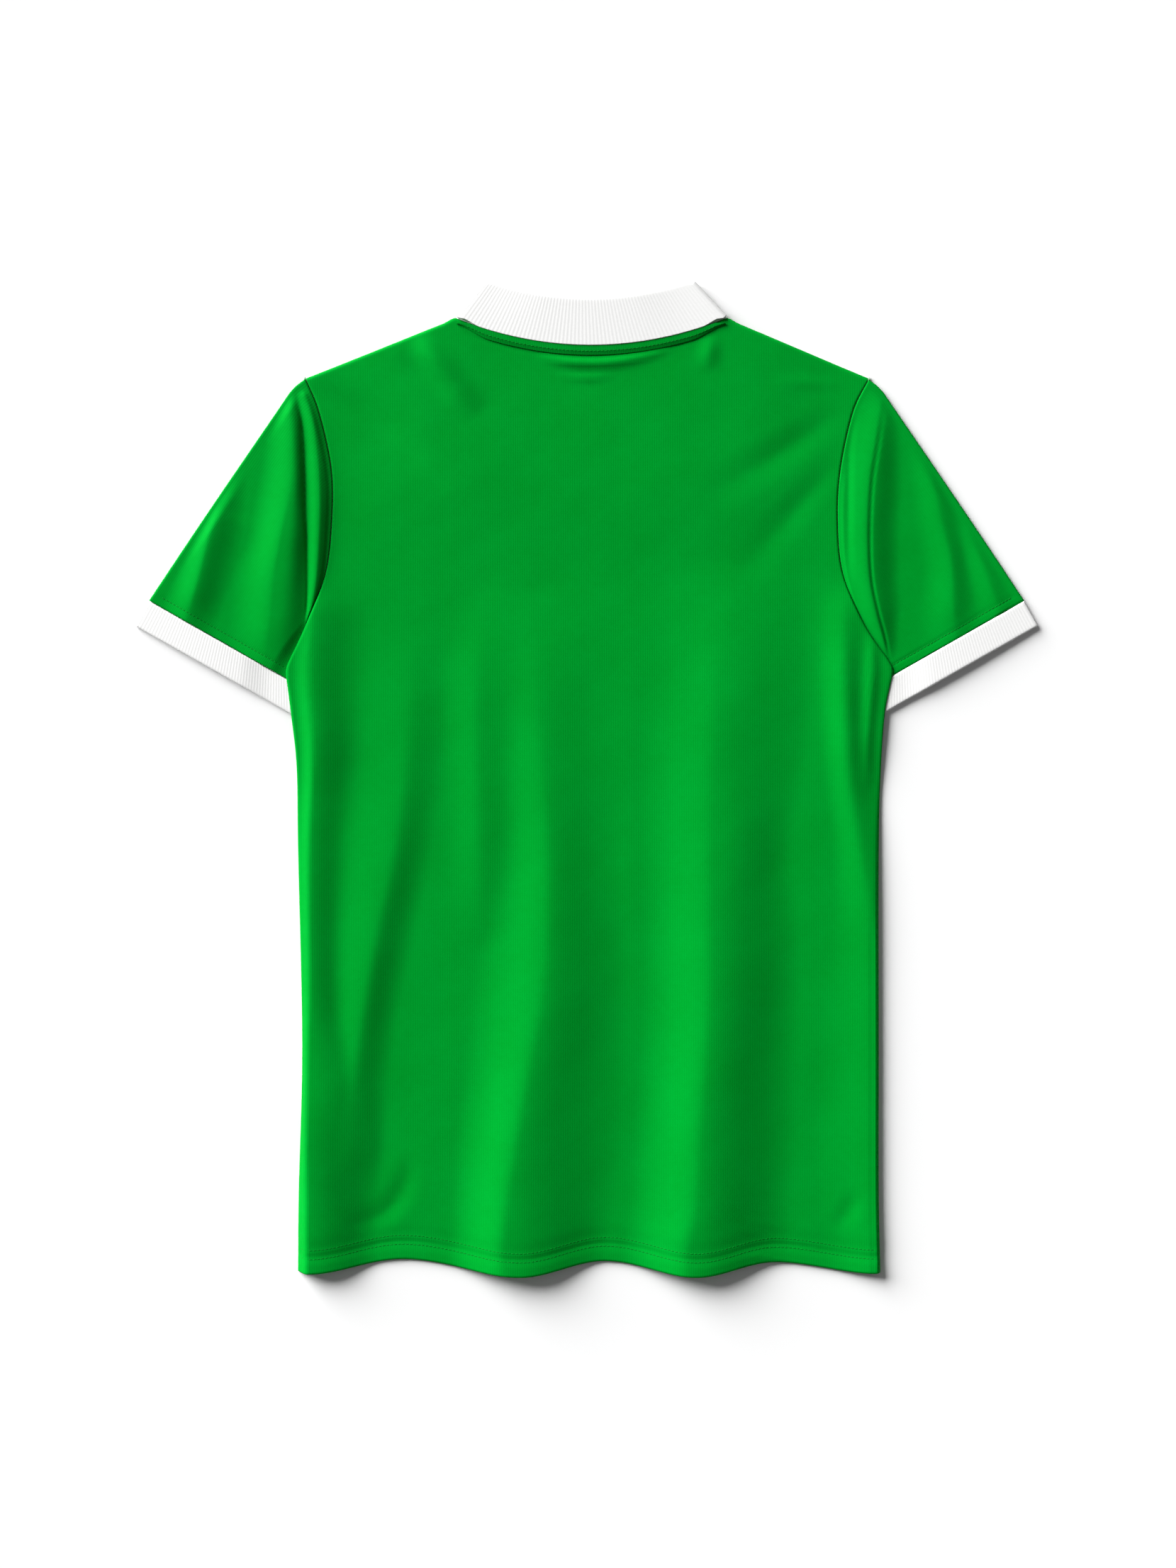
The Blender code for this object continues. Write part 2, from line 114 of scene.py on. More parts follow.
# A pale wall far behind, for views from low down. It gives no light and casts no shadow.
bpy.ops.mesh.primitive_cylinder_add(
    radius=WALL_RADIUS, depth=WALL_HEIGHT, end_fill_type="NOTHING", vertices=96
)
backdrop = bpy.context.object
backdrop.name = "studio_wall"
backdrop.visible_diffuse = backdrop.visible_glossy = backdrop.visible_shadow = False
print("key light's height, degrees:", round(math.degrees(KEY_HEIGHT)))

# %% [markdown]
# ## Materials
#
# Each colour is written as an sRGB hex value and turned to linear light once. One small function adds
# a node with its settings and links, so that a material reads as a list of what feeds what.

# %% Helpers for materials
def linear(hex_colour):
    """The linear colour of an sRGB hex value."""
    parts = [int(hex_colour[i : i + 2], 16) / 255 for i in (1, 3, 5)]
    return [c / 12.92 if c <= 0.04045 else ((c + 0.055) / 1.055) ** 2.4 for c in parts] + [1.0]


def add_node(tree, kind, settings=(), **inputs):
    """A node of a kind, with its settings, and inputs that are values or other nodes' outputs."""
    node = tree.nodes.new(kind)
    for name, value in dict(settings).items():
        setattr(node, name, value)
    for name, value in inputs.items():
        socket = node.inputs[int(name[1:]) if name[1:].isdigit() else name.replace("_", " ")]
        if isinstance(value, bpy.types.NodeSocket):
            tree.links.new(value, socket)
        else:
            socket.default_value = value
    return node


SHEEN_ROUGHNESS = 0.4


def new_material(name, roughness, sheen, specular, tint="#FFFFFF"):
    """A material, its tree and its shader. What is the same all over is set on the shader's sockets."""
    material = bpy.data.materials.new(name)
    material.use_nodes = True
    shader = material.node_tree.nodes["Principled BSDF"]
    shader.inputs["Roughness"].default_value = roughness
    shader.inputs["Sheen Weight"].default_value = sheen
    shader.inputs["Sheen Roughness"].default_value = SHEEN_ROUGHNESS
    shader.inputs["Specular IOR Level"].default_value = specular
    shader.inputs["Specular Tint"].default_value = linear(tint)
    return material, material.node_tree, shader


def wave_scale(pitch):
    """The scale at which Blender's wave texture repeats at a pitch, in the units it is fed."""
    return 2 * math.pi / (20 * pitch)


def cut_in_mm(tree):
    """Where a point lies on its panel's cut, in millimetres."""
    cut = add_node(tree, "ShaderNodeUVMap", {"uv_map": "cut"}).outputs["UV"]
    return add_node(tree, "ShaderNodeMapping", Vector=cut, Scale=(1 / MM, 1 / MM, 1 / MM)).outputs["Vector"]


def noise(tree, where, scale, detail, roughness=0.5):
    """Soft random grain, from 0 to 1."""
    node = add_node(tree, "ShaderNodeTexNoise", Vector=where, Scale=scale, Detail=detail,
                    Roughness=roughness)
    return node.outputs["Fac"]


def maths(tree, operation, *values):
    """The result of one operation on values or other nodes' outputs."""
    inputs = {f"_{number}": value for number, value in enumerate(values)}
    return add_node(tree, "ShaderNodeMath", {"operation": operation}, **inputs).outputs["Value"]


def ranged(tree, value, low, high, start=0.0, end=1.0):
    """A value that goes from start to end, turned into one that goes from low to high."""
    node = add_node(tree, "ShaderNodeMapRange", Value=value, From_Min=start, From_Max=end,
                    To_Min=low, To_Max=high)
    return node.outputs["Result"]


def mixed(tree, kind, factor, first, second):
    """Two colours mixed. Each one is a value or another node's output."""
    settings = {"data_type": "RGBA", "blend_type": kind}
    return add_node(tree, "ShaderNodeMix", settings, Factor=factor, _6=first, _7=second).outputs[2]


# %% [markdown]
# ### Polyester interlock knit
#
# Jersey cloth is a polyester interlock: two rib knits locked together, smooth on both faces and heat
# set. To the eye it is an even, deep green with a soft shine along each fold and no hard highlight.
# Its wales, the columns of loops, run up the panel about 1 mm apart. That is too fine to show from
# three metres, so they are drawn 1.8 mm apart. A soft mottle stands for the way dye and yarn vary.

# %% Green polyester interlock
WALE = 1.8
COURSE = 1.3
LOOP_DEPTH = 0.12 * MM


def interlock(name, base, bright):
    """Smooth knit of two close greens. Rows of loops dip its surface, and the colour is darkened a little
    between them as painted shade.
    """
    material, tree, shader = new_material(name, roughness=0.7, sheen=0.0, specular=0.05, tint="#10F0A0")
    mm = cut_in_mm(tree)
    waver = {"Vector": mm, "Detail": 1.0, "Detail_Scale": 2.0}
    wales = add_node(tree, "ShaderNodeTexWave", {"bands_direction": "X"}, Scale=wave_scale(WALE),
                     Distortion=0.5, **waver).outputs["Color"]
    courses = add_node(tree, "ShaderNodeTexWave", {"bands_direction": "Y"}, Scale=wave_scale(COURSE),
                       Distortion=0.8, **waver).outputs["Color"]
    shallow = ranged(tree, courses, 0.6, 1.0)
    loops = maths(tree, "MULTIPLY", wales, shallow)
    mottle = maths(tree, "ADD", noise(tree, mm, 0.16, 5.0, 0.7), noise(tree, mm, 0.02, 2.0))
    dye = mixed(tree, "MIX", ranged(tree, mottle, 0.0, 1.0, 0.7, 1.3), linear(base), linear(bright))
    # Painted shade: the colour is a little darker between the loops and a touch lighter on their tops.
    colour = mixed(tree, "MULTIPLY", 1.0, dye, ranged(tree, loops, 0.94, 1.02))
    tree.links.new(colour, shader.inputs["Base Color"])
    bump = add_node(tree, "ShaderNodeBump", Strength=0.35, Distance=LOOP_DEPTH, Height=loops)
    tree.links.new(bump.outputs["Normal"], shader.inputs["Normal"])
    return material


green_knit = interlock("green_polyester_interlock", "#008E25", "#00942A")
print("wales drawn every", WALE, "mm")

# %% [markdown]
# ### Flat-knitted rib
#
# The collar and cuffs are knitted to shape in a thicker white yarn, with fine ribs that run across the
# band. They look matt and nearly plain, with faint lines where the light crosses the ribs. Real ribs
# are about 1.2 mm apart, and are drawn 2.4 mm apart so that they show.

# %% White flat knit
RIB_PITCH = 2.4
RIB_DEPTH = 0.15 * MM


def flat_knit(name, base, bright):
    """Ribbed knit of two close whites, with a little fuzz on its ribs."""
    material, tree, shader = new_material(name, roughness=0.85, sheen=0.1, specular=0.06)
    mm = cut_in_mm(tree)
    ribs = add_node(tree, "ShaderNodeTexWave", {"bands_direction": "X"}, Vector=mm,
                    Scale=wave_scale(RIB_PITCH), Distortion=0.3, Detail=1.0).outputs["Fac"]
    fuzz = noise(tree, mm, 0.5, 6.0, 0.7)
    yarn = mixed(tree, "MIX", ranged(tree, fuzz, 0.0, 1.0, 0.3, 0.7), linear(base), linear(bright))
    tree.links.new(yarn, shader.inputs["Base Color"])
    height = maths(tree, "MULTIPLY_ADD", fuzz, 0.4, ribs)
    bump = add_node(tree, "ShaderNodeBump", Strength=0.3, Distance=RIB_DEPTH, Height=height)
    tree.links.new(bump.outputs["Normal"], shader.inputs["Normal"])
    return material


white_knit = flat_knit("white_flat_knit_rib", "#E9E9E8", "#EEEEED")

# %% [markdown]
# ### Sewing thread, table top and wall
#
# Seams are sewn in spun polyester thread of the cloth's own colour. Its colour here is painted a little
# darker than the cloth's, as painted shade for the hollow that each stitch sits in. The table is matt
# and near white. The wall glows evenly, so that it looks pale wherever the view is from.

# %% Thread, table and wall
def spun_thread(name, colour):
    """Thread of one colour, uneven where its fibres lie."""
    material, tree, shader = new_material(name, roughness=0.7, sheen=0.0, specular=0.1)
    spot = add_node(tree, "ShaderNodeTexCoord").outputs["Object"]
    fibre = ranged(tree, noise(tree, spot, 900.0, 2.0), 0.85, 1.1)
    yarn = mixed(tree, "MULTIPLY", 1.0, linear(colour), fibre)
    tree.links.new(yarn, shader.inputs["Base Color"])
    return material


# The thread's colour is darker than the cloth's: painted shade of the stitches' hollows.
green_thread = spun_thread("green_spun_thread", "#007A22")
table_top, _, table_shader = new_material("matt_white_table", roughness=0.9, sheen=0.0, specular=0.1)
table_shader.inputs["Base Color"].default_value = linear("#F6F6F6")
table.data.materials.append(table_top)
wall_paint, _, wall_shader = new_material("pale_matt_wall_paint", roughness=0.9, sheen=0.0, specular=0.0)
wall_shader.inputs["Emission Color"].default_value = linear("#F2F2F2")
wall_shader.inputs["Emission Strength"].default_value = 0.9
backdrop.data.materials.append(wall_paint)
print("materials:", len(bpy.data.materials))

# %% [markdown]
# ## Curves
#
# Panels are cut along smooth curves. A route is a curve read by its share of length, a chain joins
# routes so that a grid line meets each corner, and a patch fills the sheet between four of them.

# %% Curve helpers
def eased(value, start, end):
    """0 before start, 1 after end, and smooth between them."""
    t = np.clip((np.asarray(value, float) - start) / (end - start), 0.0, 1.0)
    return t * t * (3.0 - 2.0 * t)


def through(rows, steps=8):
    """Rows of numbers joined by a smooth curve, with so many steps between two rows."""
    rows = [np.array(row, float) for row in rows]
    padded = [2 * rows[0] - rows[1], *rows, 2 * rows[-1] - rows[-2]]
    found = []
    for before, start, end, after in zip(padded, padded[1:], padded[2:], padded[3:]):
        for t in np.arange(steps) / steps:
            found.append(
                start
                + 0.5 * t * (end - before)
                + t * t * (before - 2.5 * start + 2.0 * end - 0.5 * after)
                + t * t * t * (1.5 * (start - end) + 0.5 * (after - before))
            )
    return np.array([*found, rows[-1]])


class Route:
    """A plan curve that is read by its share of length."""

    def __init__(self, points):
        self.points = np.array(points, float)
        steps = np.linalg.norm(np.diff(self.points, axis=0), axis=1)
        self.length = np.concatenate([[0.0], np.cumsum(steps)])

    def at(self, share):
        along = np.asarray(share, float) * self.length[-1]
        return np.stack([np.interp(along, self.length, self.points[:, i]) for i in (0, 1)], axis=-1)

    def inset(self, distance):
        """The same route moved to its left by a distance."""
        ahead = np.gradient(self.points, axis=0)
        ahead /= np.linalg.norm(ahead, axis=1)[:, None]
        return Route(self.points + distance * np.stack([-ahead[:, 1], ahead[:, 0]], axis=1))


CLOSE = 1e-9


class Chain:
    """Routes end to end, each up to its own share."""

    def __init__(self, *stretches):
        self.stretches = stretches

    def at(self, share):
        share = np.asarray(share, float)
        found, start = np.zeros(share.shape + (2,)), 0.0
        for end, route in self.stretches:
            inside = (share >= start - CLOSE) & (share <= end + CLOSE)
            found[inside] = route.at(np.clip((share[inside] - start) / (end - start), 0.0, 1.0))
            start = end
        return found


def patch(bottom, top, left, right, u, v):
    """Plan points of the sheet between four routes, for every u with every v."""
    low, high = bottom.at(u)[:, None], top.at(u)[:, None]
    near, far = left.at(v)[None], right.at(v)[None]
    u, v = u[:, None, None], v[None, :, None]
    corners = (1 - v) * ((1 - u) * low[:1] + u * low[-1:]) + v * ((1 - u) * high[:1] + u * high[-1:])
    return (1 - v) * low + v * high + (1 - u) * near + u * far - corners


def spread(*stretches):
    """Shares from 0 to 1 in stretches, each given as (its end, how many steps)."""
    shares, start = [0.0], 0.0
    for end, steps in stretches:
        shares += [start + (end - start) * (k + 1) / steps for k in range(steps)]
        start = end
    return np.array(shares)


# %% [markdown]
# ## Folds
#
# Loose cloth that is laid down keeps long soft folds where it has more width than the table needs.
# Each fold is a row of crest points with a rise and a reach to each side, so that one flank can be
# steep and the other long. Creases are the same but smaller, and are added on top.

# %% Fold helpers
PLAIN_LEAN = 0.8


def ridge(rows, x, y):
    """How far one fold lifts the cloth at each point. Its flanks are half waves of their own reach.

    A row is x, y, rise, reach to the left and to the right, and then, if they are given, how far
    out the right flank and the left flank are steepest.
    """
    line = through(rows, 6)
    nearest = np.full(x.shape, 1e9)
    rise, reach, lean = np.zeros(x.shape), np.ones(x.shape), np.full(x.shape, PLAIN_LEAN)
    for start, end in zip(line, line[1:]):
        run = end[:2] - start[:2]
        share = np.clip(((x - start[0]) * run[0] + (y - start[1]) * run[1]) / (run @ run), 0.0, 1.0)
        offset = np.hypot(x - start[0] - share * run[0], y - start[1] - share * run[1])
        to_right = run[0] * (y - start[1]) - run[1] * (x - start[0]) > 0
        here = start[2:] + share[..., None] * (end[2:] - start[2:])
        closer = offset < nearest
        nearest = np.where(closer, offset, nearest)
        rise = np.where(closer, here[..., 0], rise)
        reach = np.where(closer, np.where(to_right, here[..., 2], here[..., 1]), reach)
        if line.shape[1] > 5:
            left_lean = here[..., 4] if line.shape[1] > 6 else PLAIN_LEAN
            lean = np.where(closer, np.where(to_right, here[..., 3], left_lean), lean)
    return 0.5 * rise * (1 + np.cos(np.pi * np.clip(nearest / reach, 0.0, 1.0) ** lean))


def folds_rise(folds, x, y, blend=1.2):
    """The folds together: where two meet, the higher one shows, with a soft join."""
    total = sum(np.exp(ridge(rows, x, y) / blend) for rows in folds.values())
    return blend * np.log(np.maximum(total - (len(folds) - 1), 1.0))


def creases_rise(creases, x, y):
    """Creases are small and lie over the folds, so their heights are added."""
    return sum(ridge([(px, py, rise, wide, wide) for px, py, rise, wide in rows], x, y)
               for rows in creases.values())


def unevenness(x, y, height):
    """The slight waviness that pressed cloth keeps, as a few long waves that never line up."""
    # Each wave has a length, a direction and a start. A shorter one is lower.
    waves = ((131, 0.4, 0.3), (89, 1.9, 1.1), (61, 2.7, 2.3), (43, 0.9, 4.1), (29, 2.2, 5.2))
    longest = waves[0][0]
    return height * sum(
        length / longest * np.sin((x * math.cos(turn) + y * math.sin(turn)) * 2 * math.pi / length + phase)
        for length, turn, phase in waves
    )


def rolled(distance, depth, reach):
    """How far an edge is drawn down near itself: a quarter turn of cloth."""
    t = np.clip(distance / reach, 0.0, 1.0)
    return depth * (1 - np.sqrt(1 - (1 - t) ** 2))


def groove(distance, half_width):
    """A soft groove, 1 at its line and falling away to both sides."""
    return np.exp(-((distance / half_width) ** 2))


# %% [markdown]
# ## Making cloth
#
# A panel is a thin shell: a grid for its upper face, a grid for its lower one, and a strip round the
# edge. A tube closes on itself. Its "cut" map says in metres where each point lies on the cut cloth,
# so the knit follows the grain of each panel, as it would after cutting.

# %% Cloth from two grids
def cloth(name, upper, lower, cut, material, tube=False):
    """A shell between two grids of points in millimetres, with the map of its cut."""
    if tube:
        upper, lower = (np.concatenate([g, g[:1]]) for g in (upper, lower))
        cut = np.concatenate([cut, cut[:1] + (cut[-1:] - cut[:1]) * len(cut) / (len(cut) - 1)])
    wide, high = upper.shape[:2]
    count = wide * high
    index = np.arange(count).reshape(wide, high)
    quads = np.stack([index[:-1, :-1], index[1:, :-1], index[1:, 1:], index[:-1, 1:]], axis=-1)
    quads = quads.reshape(-1, 4)
    faces = [quads, quads[:, ::-1] + count]
    edges = [(index[:, 0], 1), (index[:, -1], -1)]
    if not tube:
        edges += [(index[0], -1), (index[-1], 1)]
    for line, turn in edges:
        strip = np.stack([line[:-1], line[:-1] + count, line[1:] + count, line[1:]], axis=-1)
        faces.append(strip[:, ::turn])
    faces = np.concatenate(faces)
    points = np.concatenate([upper.reshape(-1, 3), lower.reshape(-1, 3)]) * MM
    mesh = bpy.data.meshes.new(name)
    mesh.from_pydata(points.tolist(), [], faces.tolist())
    where = np.concatenate([cut.reshape(-1, 2)] * 2) * MM
    layer = mesh.uv_layers.new(name="cut")
    layer.data.foreach_set("uv", where[faces.reshape(-1)].astype(np.float32).reshape(-1))
    mesh.materials.append(material)
    mesh.shade_smooth()
    piece = bpy.data.objects.new(name, mesh)
    bpy.context.scene.collection.objects.link(piece)
    if tube:
        weld = piece.modifiers.new("close_tube", "WELD")
        weld.merge_threshold = 0.01 * MM
    print(name, "faces:", len(faces))
    return piece


def lay(piece, node):
    """The cloth stands for its plain solid, which is hidden, and is attached to the root body."""
    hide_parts(node)
    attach(piece, "root")


# %% [markdown]
# ## Stitches
#
# A seam that shows is a row of lock stitches, each a short length of thread that dips into the cloth
# at both ends. Each stitch is a small bead here, flattened and laid along its line. Real stitches are
# 2.5 mm long, and so are these.

# %% Stitch helper
STITCH, STITCH_GAP, THREAD = 2.5, 0.6, 0.28
STITCH_RINGS, STITCH_SIDES = 5, 6


def stitch_row(name, line, material):
    """A row of stitches along a line of points that lie on the cloth."""
    steps = np.linalg.norm(np.diff(line, axis=0), axis=1)
    length = np.concatenate([[0.0], np.cumsum(steps)])
    starts = np.arange(1.0, length[-1] - STITCH, STITCH + STITCH_GAP)
    first, last = (
        np.stack([np.interp(starts + k * STITCH, length, line[:, i]) for i in range(3)], axis=1)
        for k in (0, 1)
    )
    ahead = (last - first) / np.linalg.norm(last - first, axis=1)[:, None]
    across = np.stack([-ahead[:, 1], ahead[:, 0], 0 * ahead[:, 0]], axis=1)
    across /= np.linalg.norm(across, axis=1)[:, None]
    points = []
    for k in np.linspace(0, 1, STITCH_RINGS):
        # A stitch is thickest at its middle, and never quite a point at its ends.
        thick = THREAD * math.sin(math.pi * (0.12 + 0.76 * k))
        middle = first + k * (last - first)
        for turn in np.arange(STITCH_SIDES) * 2 * math.pi / STITCH_SIDES:
            lift = np.array([0.0, 0.0, 0.6 * thick * math.sin(turn) + 0.05])
            points.append(middle + across * thick * math.cos(turn) + lift)
    points = np.stack(points, axis=1)
    faces = []
    for k in range(STITCH_RINGS - 1):
        for t in range(STITCH_SIDES):
            a, b = k * STITCH_SIDES + t, k * STITCH_SIDES + (t + 1) % STITCH_SIDES
            faces.append((a, b, b + STITCH_SIDES, a + STITCH_SIDES))
    count, ring = points.shape[1], range(STITCH_SIDES)
    every = (np.array(faces)[None] + (np.arange(len(points)) * count)[:, None, None]).reshape(-1, 4)
    caps = [[n * count + start + t for t in order] for n in range(len(points))
            for start, order in ((0, ring[::-1]), (count - STITCH_SIDES, ring))]
    mesh = bpy.data.meshes.new(name)
    mesh.from_pydata((points.reshape(-1, 3) * MM).tolist(), [], every.tolist() + caps)
    mesh.materials.append(material)
    mesh.shade_smooth()
    piece = bpy.data.objects.new(name, mesh)
    bpy.context.scene.collection.objects.link(piece)
    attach(piece, "root")
    print(name, "stitches:", len(points))


def line_at(plan, z, distance, wanted):
    """The line on a grid of cloth where a distance, which grows with the second index, has a value."""
    found = []
    for row, heights, along in zip(plan, z, distance):
        found.append([np.interp(wanted, along, values) for values in (row[:, 0], row[:, 1], heights)])
    return np.array(found)


# %% [markdown]
# ## The body's outline
#
# The back and front are cut alike: straight sides, a curved armhole, a sloping shoulder and, on the
# back, a shallow neck. The hem's edge waves, because each fold that stands up at the hem brings the
# edge down with it.

# %% Sizes of the body
CLOTH_WALL = 1.2
GAP = 0.3
RIB_WALL = 1.5
TUBE_GAP = 0.5
BACK_REST = CLOTH_WALL + GAP
OVER_RIB = 2 * RIB_WALL + TUBE_GAP + GAP
SEAM_GAP = 0.5

# The cloth that is drawn is a little thinner than the walls of the plain solids.
CLOTH_SHOWN = 0.8
RIB_SHOWN = 1.0

# The neck's middle is a little to the right of the body's. The neck takes the middle half of the top.
CENTRE_X = 3.5
TIP_Y = 316.5
NECK_SHARE, NECK_HALF, NECK_TOP, NECK_DROP = 0.25, 108.0, 365.0, 21.5
NECK_POINT_HALF, NECK_POINT_Y = 116.3, 359.8
FRONT_NECK_Y = 262.0
ARMPIT_Y, ARMPIT_SHARE = 85.0, 0.6
STRIP_TOP, STRIP_FOOT, STRIP_END, STRIP_HALF, STRIP_WALL = 1.3, 9.0, 5.0, 106.0, 1.6

BODY_EDGE = (
    # y, left, right
    (316.5, 222.0, 223.0),
    (290.0, 211.4, 210.5),
    (246.0, 201.8, 200.8),
    (206.0, 201.3, 198.3),
    (162.0, 206.4, 202.6),
    (120.0, 222.6, 220.4),
    (94.0, 234.8, 238.2),
    (ARMPIT_Y, 237.7, 242.0),
    (74.0, 236.6, 240.0),
    (52.0, 233.8, 235.8),
    (10.0, 229.3, 232.7),
    (-57.0, 228.2, 231.0),
    (-214.0, 224.8, 231.0),
    (-326.0, 227.6, 231.0),
    (-388.0, 228.2, 232.3),
)
HEM_WAVE = (
    # x, y
    (-240.0, -386.0),
    (-220.0, -391.2),
    (-145.0, -380.0),
    (-52.0, -393.4),
    (14.0, -381.5),
    (87.0, -393.4),
    (148.0, -382.3),
    (228.0, -391.2),
    (240.0, -388.0),
)


# %% The body's routes
def hem_y(x):
    """The hem's edge, eased from each low to the next high."""
    lows, x = np.array(HEM_WAVE), np.asarray(x, float)
    found = np.full(x.shape, lows[0, 1])
    for (start, low), (end, high) in zip(lows, lows[1:]):
        found = np.where(x > start, low + (high - low) * eased(x, start, end), found)
    return found


def neck_y(x):
    """The back's neck seam."""
    return NECK_TOP - NECK_DROP + NECK_DROP * ((x - CENTRE_X) / NECK_HALF) ** 2


def side_points(sign):
    """The body's edge from the hem up to the shoulder's tip."""
    points = through([(sign * row[1 if sign < 0 else 2], row[0]) for row in BODY_EDGE])[::-1]
    points[0, 1] = hem_y(points[0, 0])
    return points


def side(sign):
    """The side as a chain with its corner at the armpit."""
    points = side_points(sign)
    armpit = points[np.argmin(abs(points[:, 1] - ARMPIT_Y))]
    below, above = points[points[:, 1] < armpit[1]], points[points[:, 1] > armpit[1]]
    return Chain((ARMPIT_SHARE, Route([*below, armpit])), (1.0, Route([armpit, *above])))


def shoulder(sign):
    """The shoulder from its tip over the neck point to the neck seam's corner."""
    tip = (sign * BODY_EDGE[0][1 if sign < 0 else 2], TIP_Y)
    point = (CENTRE_X + sign * NECK_POINT_HALF, NECK_POINT_Y)
    return [tip, point, (CENTRE_X + sign * NECK_HALF, NECK_TOP - SEAM_GAP)]


# %% [markdown]
# ## The back
#
# Two long folds fall to the hem and grow on the way. Two shorter ones lie to the left of them, and two
# more stand along the sides. Short pulls lead away from the neck corners and the armholes, where the
# seams hold the cloth. A fold's crest lies between the bright and the dark streak that the low light
# makes on it.

# %% Folds and creases of the back
BODY_FOLDS = {
    # x, y, rise, reach to the left, reach to the right, how far out the right flank is steepest
    "middle_left": (
        (-40, 150, 0.0, 60, 60, 0.8),
        (-38, 60, 2.6, 46, 60, 0.8),
        (-31, -50, 5.2, 44, 56, 0.8),
        (-30, -113, 6.8, 50, 62, 0.85),
        (-34, -169, 8.4, 58, 70, 0.85),
        (-44, -225, 9.6, 54, 80, 0.85),
        (-54, -281, 10.8, 50, 84, 0.9),
        (-62, -337, 11.6, 46, 84, 1.1),
        (-66, -370, 11.8, 44, 84, 1.2),
        (-64, -400, 12.0, 50, 80, 1.2),
    ),
    "left_shoulder": (
        (-74, 150, 0.0, 30, 70, 0.8),
        (-84, 90, 1.4, 30, 60, 0.8),
        (-86, 30, 2.2, 28, 50, 0.8),
        (-84, -60, 1.8, 28, 40, 0.8),
        (-84, -130, 0.0, 28, 40, 0.8),
    ),
    "middle_right": (
        (118, 170, 0.0, 60, 70, 0.8),
        (108, 100, 3.0, 60, 76, 1.2),
        (101, 27, 5.0, 60, 74, 1.0),
        (98, -57, 7.0, 56, 64, 1.35),
        (98, -113, 8.4, 54, 70, 1.1),
        (98, -169, 9.6, 54, 70, 1.05),
        (94, -225, 10.6, 54, 72, 1.0),
        (90, -281, 11.4, 54, 76, 1.0),
        (87, -337, 12.0, 56, 76, 1.0),
        (80, -370, 12.0, 52, 86, 1.1),
        (80, -400, 12.0, 52, 80, 1.0),
    ),
    "left_side": (
        (-213, 150, 1.2, 12, 30, 0.8),
        (-219, 90, 3.0, 14, 36, 0.8),
        (-216, 20, 4.8, 12, 40, 0.9),
        (-219, -57, 5.2, 10, 36, 0.9),
        (-219, -169, 5.8, 8, 34, 1.0),
        (-220, -225, 7.0, 9, 52, 1.3),
        (-221, -281, 9.0, 9, 62, 1.5),
        (-221, -337, 9.0, 9, 56, 1.2),
        (-221, -400, 9.0, 9, 58, 1.2),
    ),
    "left_slant": (
        (-140, 120, 0.0, 60, 30, 0.8),
        (-142, 27, 2.4, 64, 32, 0.8),
        (-152, -57, 3.8, 64, 30, 0.8),
        (-164, -113, 4.4, 56, 30, 0.8),
        (-174, -169, 4.6, 44, 28, 0.8),
        (-182, -225, 4.2, 38, 28, 0.8),
        (-186, -281, 3.0, 34, 28, 0.8),
        (-190, -330, 0.0, 30, 28, 0.8),
    ),
    # From the waist down, this one's crest is the side itself.
    "right_side": (
        (203, 150, 0.0, 20, 16, 0.8),
        (204, 70, 3.2, 22, 18, 0.8),
        (208, -1, 3.6, 20, 24, 0.8),
        (217, -57, 3.4, 24, 34, 0.8),
        (226, -113, 3.2, 34, 40, 0.8),
        (231, -169, 3.2, 44, 40, 0.8),
        (231, -281, 3.6, 54, 40, 0.8),
        (231, -337, 4.0, 50, 40, 0.8),
        (229, -375, 4.6, 42, 40, 0.8),
        (229, -400, 4.8, 42, 40, 0.8),
    ),
}

BACK_CREASES = {
    # x, y, rise, half width
    "left_neck_pull": (
        (-134, 350, 0.0, 16), (-122, 334, 3.0, 17),
        (-103, 312, 2.2, 19), (-84, 290, 0.0, 22),
    ),
    "right_neck_pull": ((98, 352, 0.0, 12), (97, 338, 1.6, 13), (96, 322, 0.0, 14)),
    "left_yoke_high": ((-150, 336, 0.0, 14), (-130, 320, -0.8, 16), (-104, 300, 0.0, 18)),
    "left_yoke": (
        (-216, 312, 0.0, 16), (-178, 290, -1.2, 20),
        (-140, 256, -0.9, 24), (-110, 226, 0.0, 26),
    ),
    "right_yoke": ((204, 292, 0.0, 16), (160, 262, -1.3, 20), (120, 238, -0.9, 24), (86, 220, 0.0, 26)),
    "right_yoke_low": (
        (200, 252, 0.0, 14), (168, 216, -1.1, 18),
        (140, 184, -0.7, 22), (118, 160, 0.0, 24),
    ),
    "right_tip": ((146, 314, 0.0, 8), (175, 313, 0.5, 9), (204, 311, 0.0, 8)),
    "neck_bulge": (
        (-40, 334, 0.0, 6), (-14, 329, 2.5, 6), (14, 328.5, 2.6, 6),
        (44, 333, 1.5, 6), (70, 342, 0.0, 6),
    ),
    "neck_bulge_low": ((-24, 319, 0.0, 5), (0, 317, 1.1, 6), (24, 319, 0.0, 5)),
    "left_hook": (
        (-138, -296, 0.0, 14), (-146, -326, -1.2, 15),
        (-164, -346, -1.2, 16), (-190, -352, 0.0, 16),
    ),
    "left_low_dark": ((-190, -240, 0.0, 26), (-196, -293, -1.4, 30), (-190, -350, 0.0, 28)),
    "right_low": ((214, -326, 0.0, 12), (208, -340, -1.0, 13), (196, -358, 0.0, 13)),
    "right_armpit": ((226, 118, 0.0, 8), (225, 80, 1.8, 9), (222, 30, 1.4, 8), (222, -10, 0.0, 8)),
}


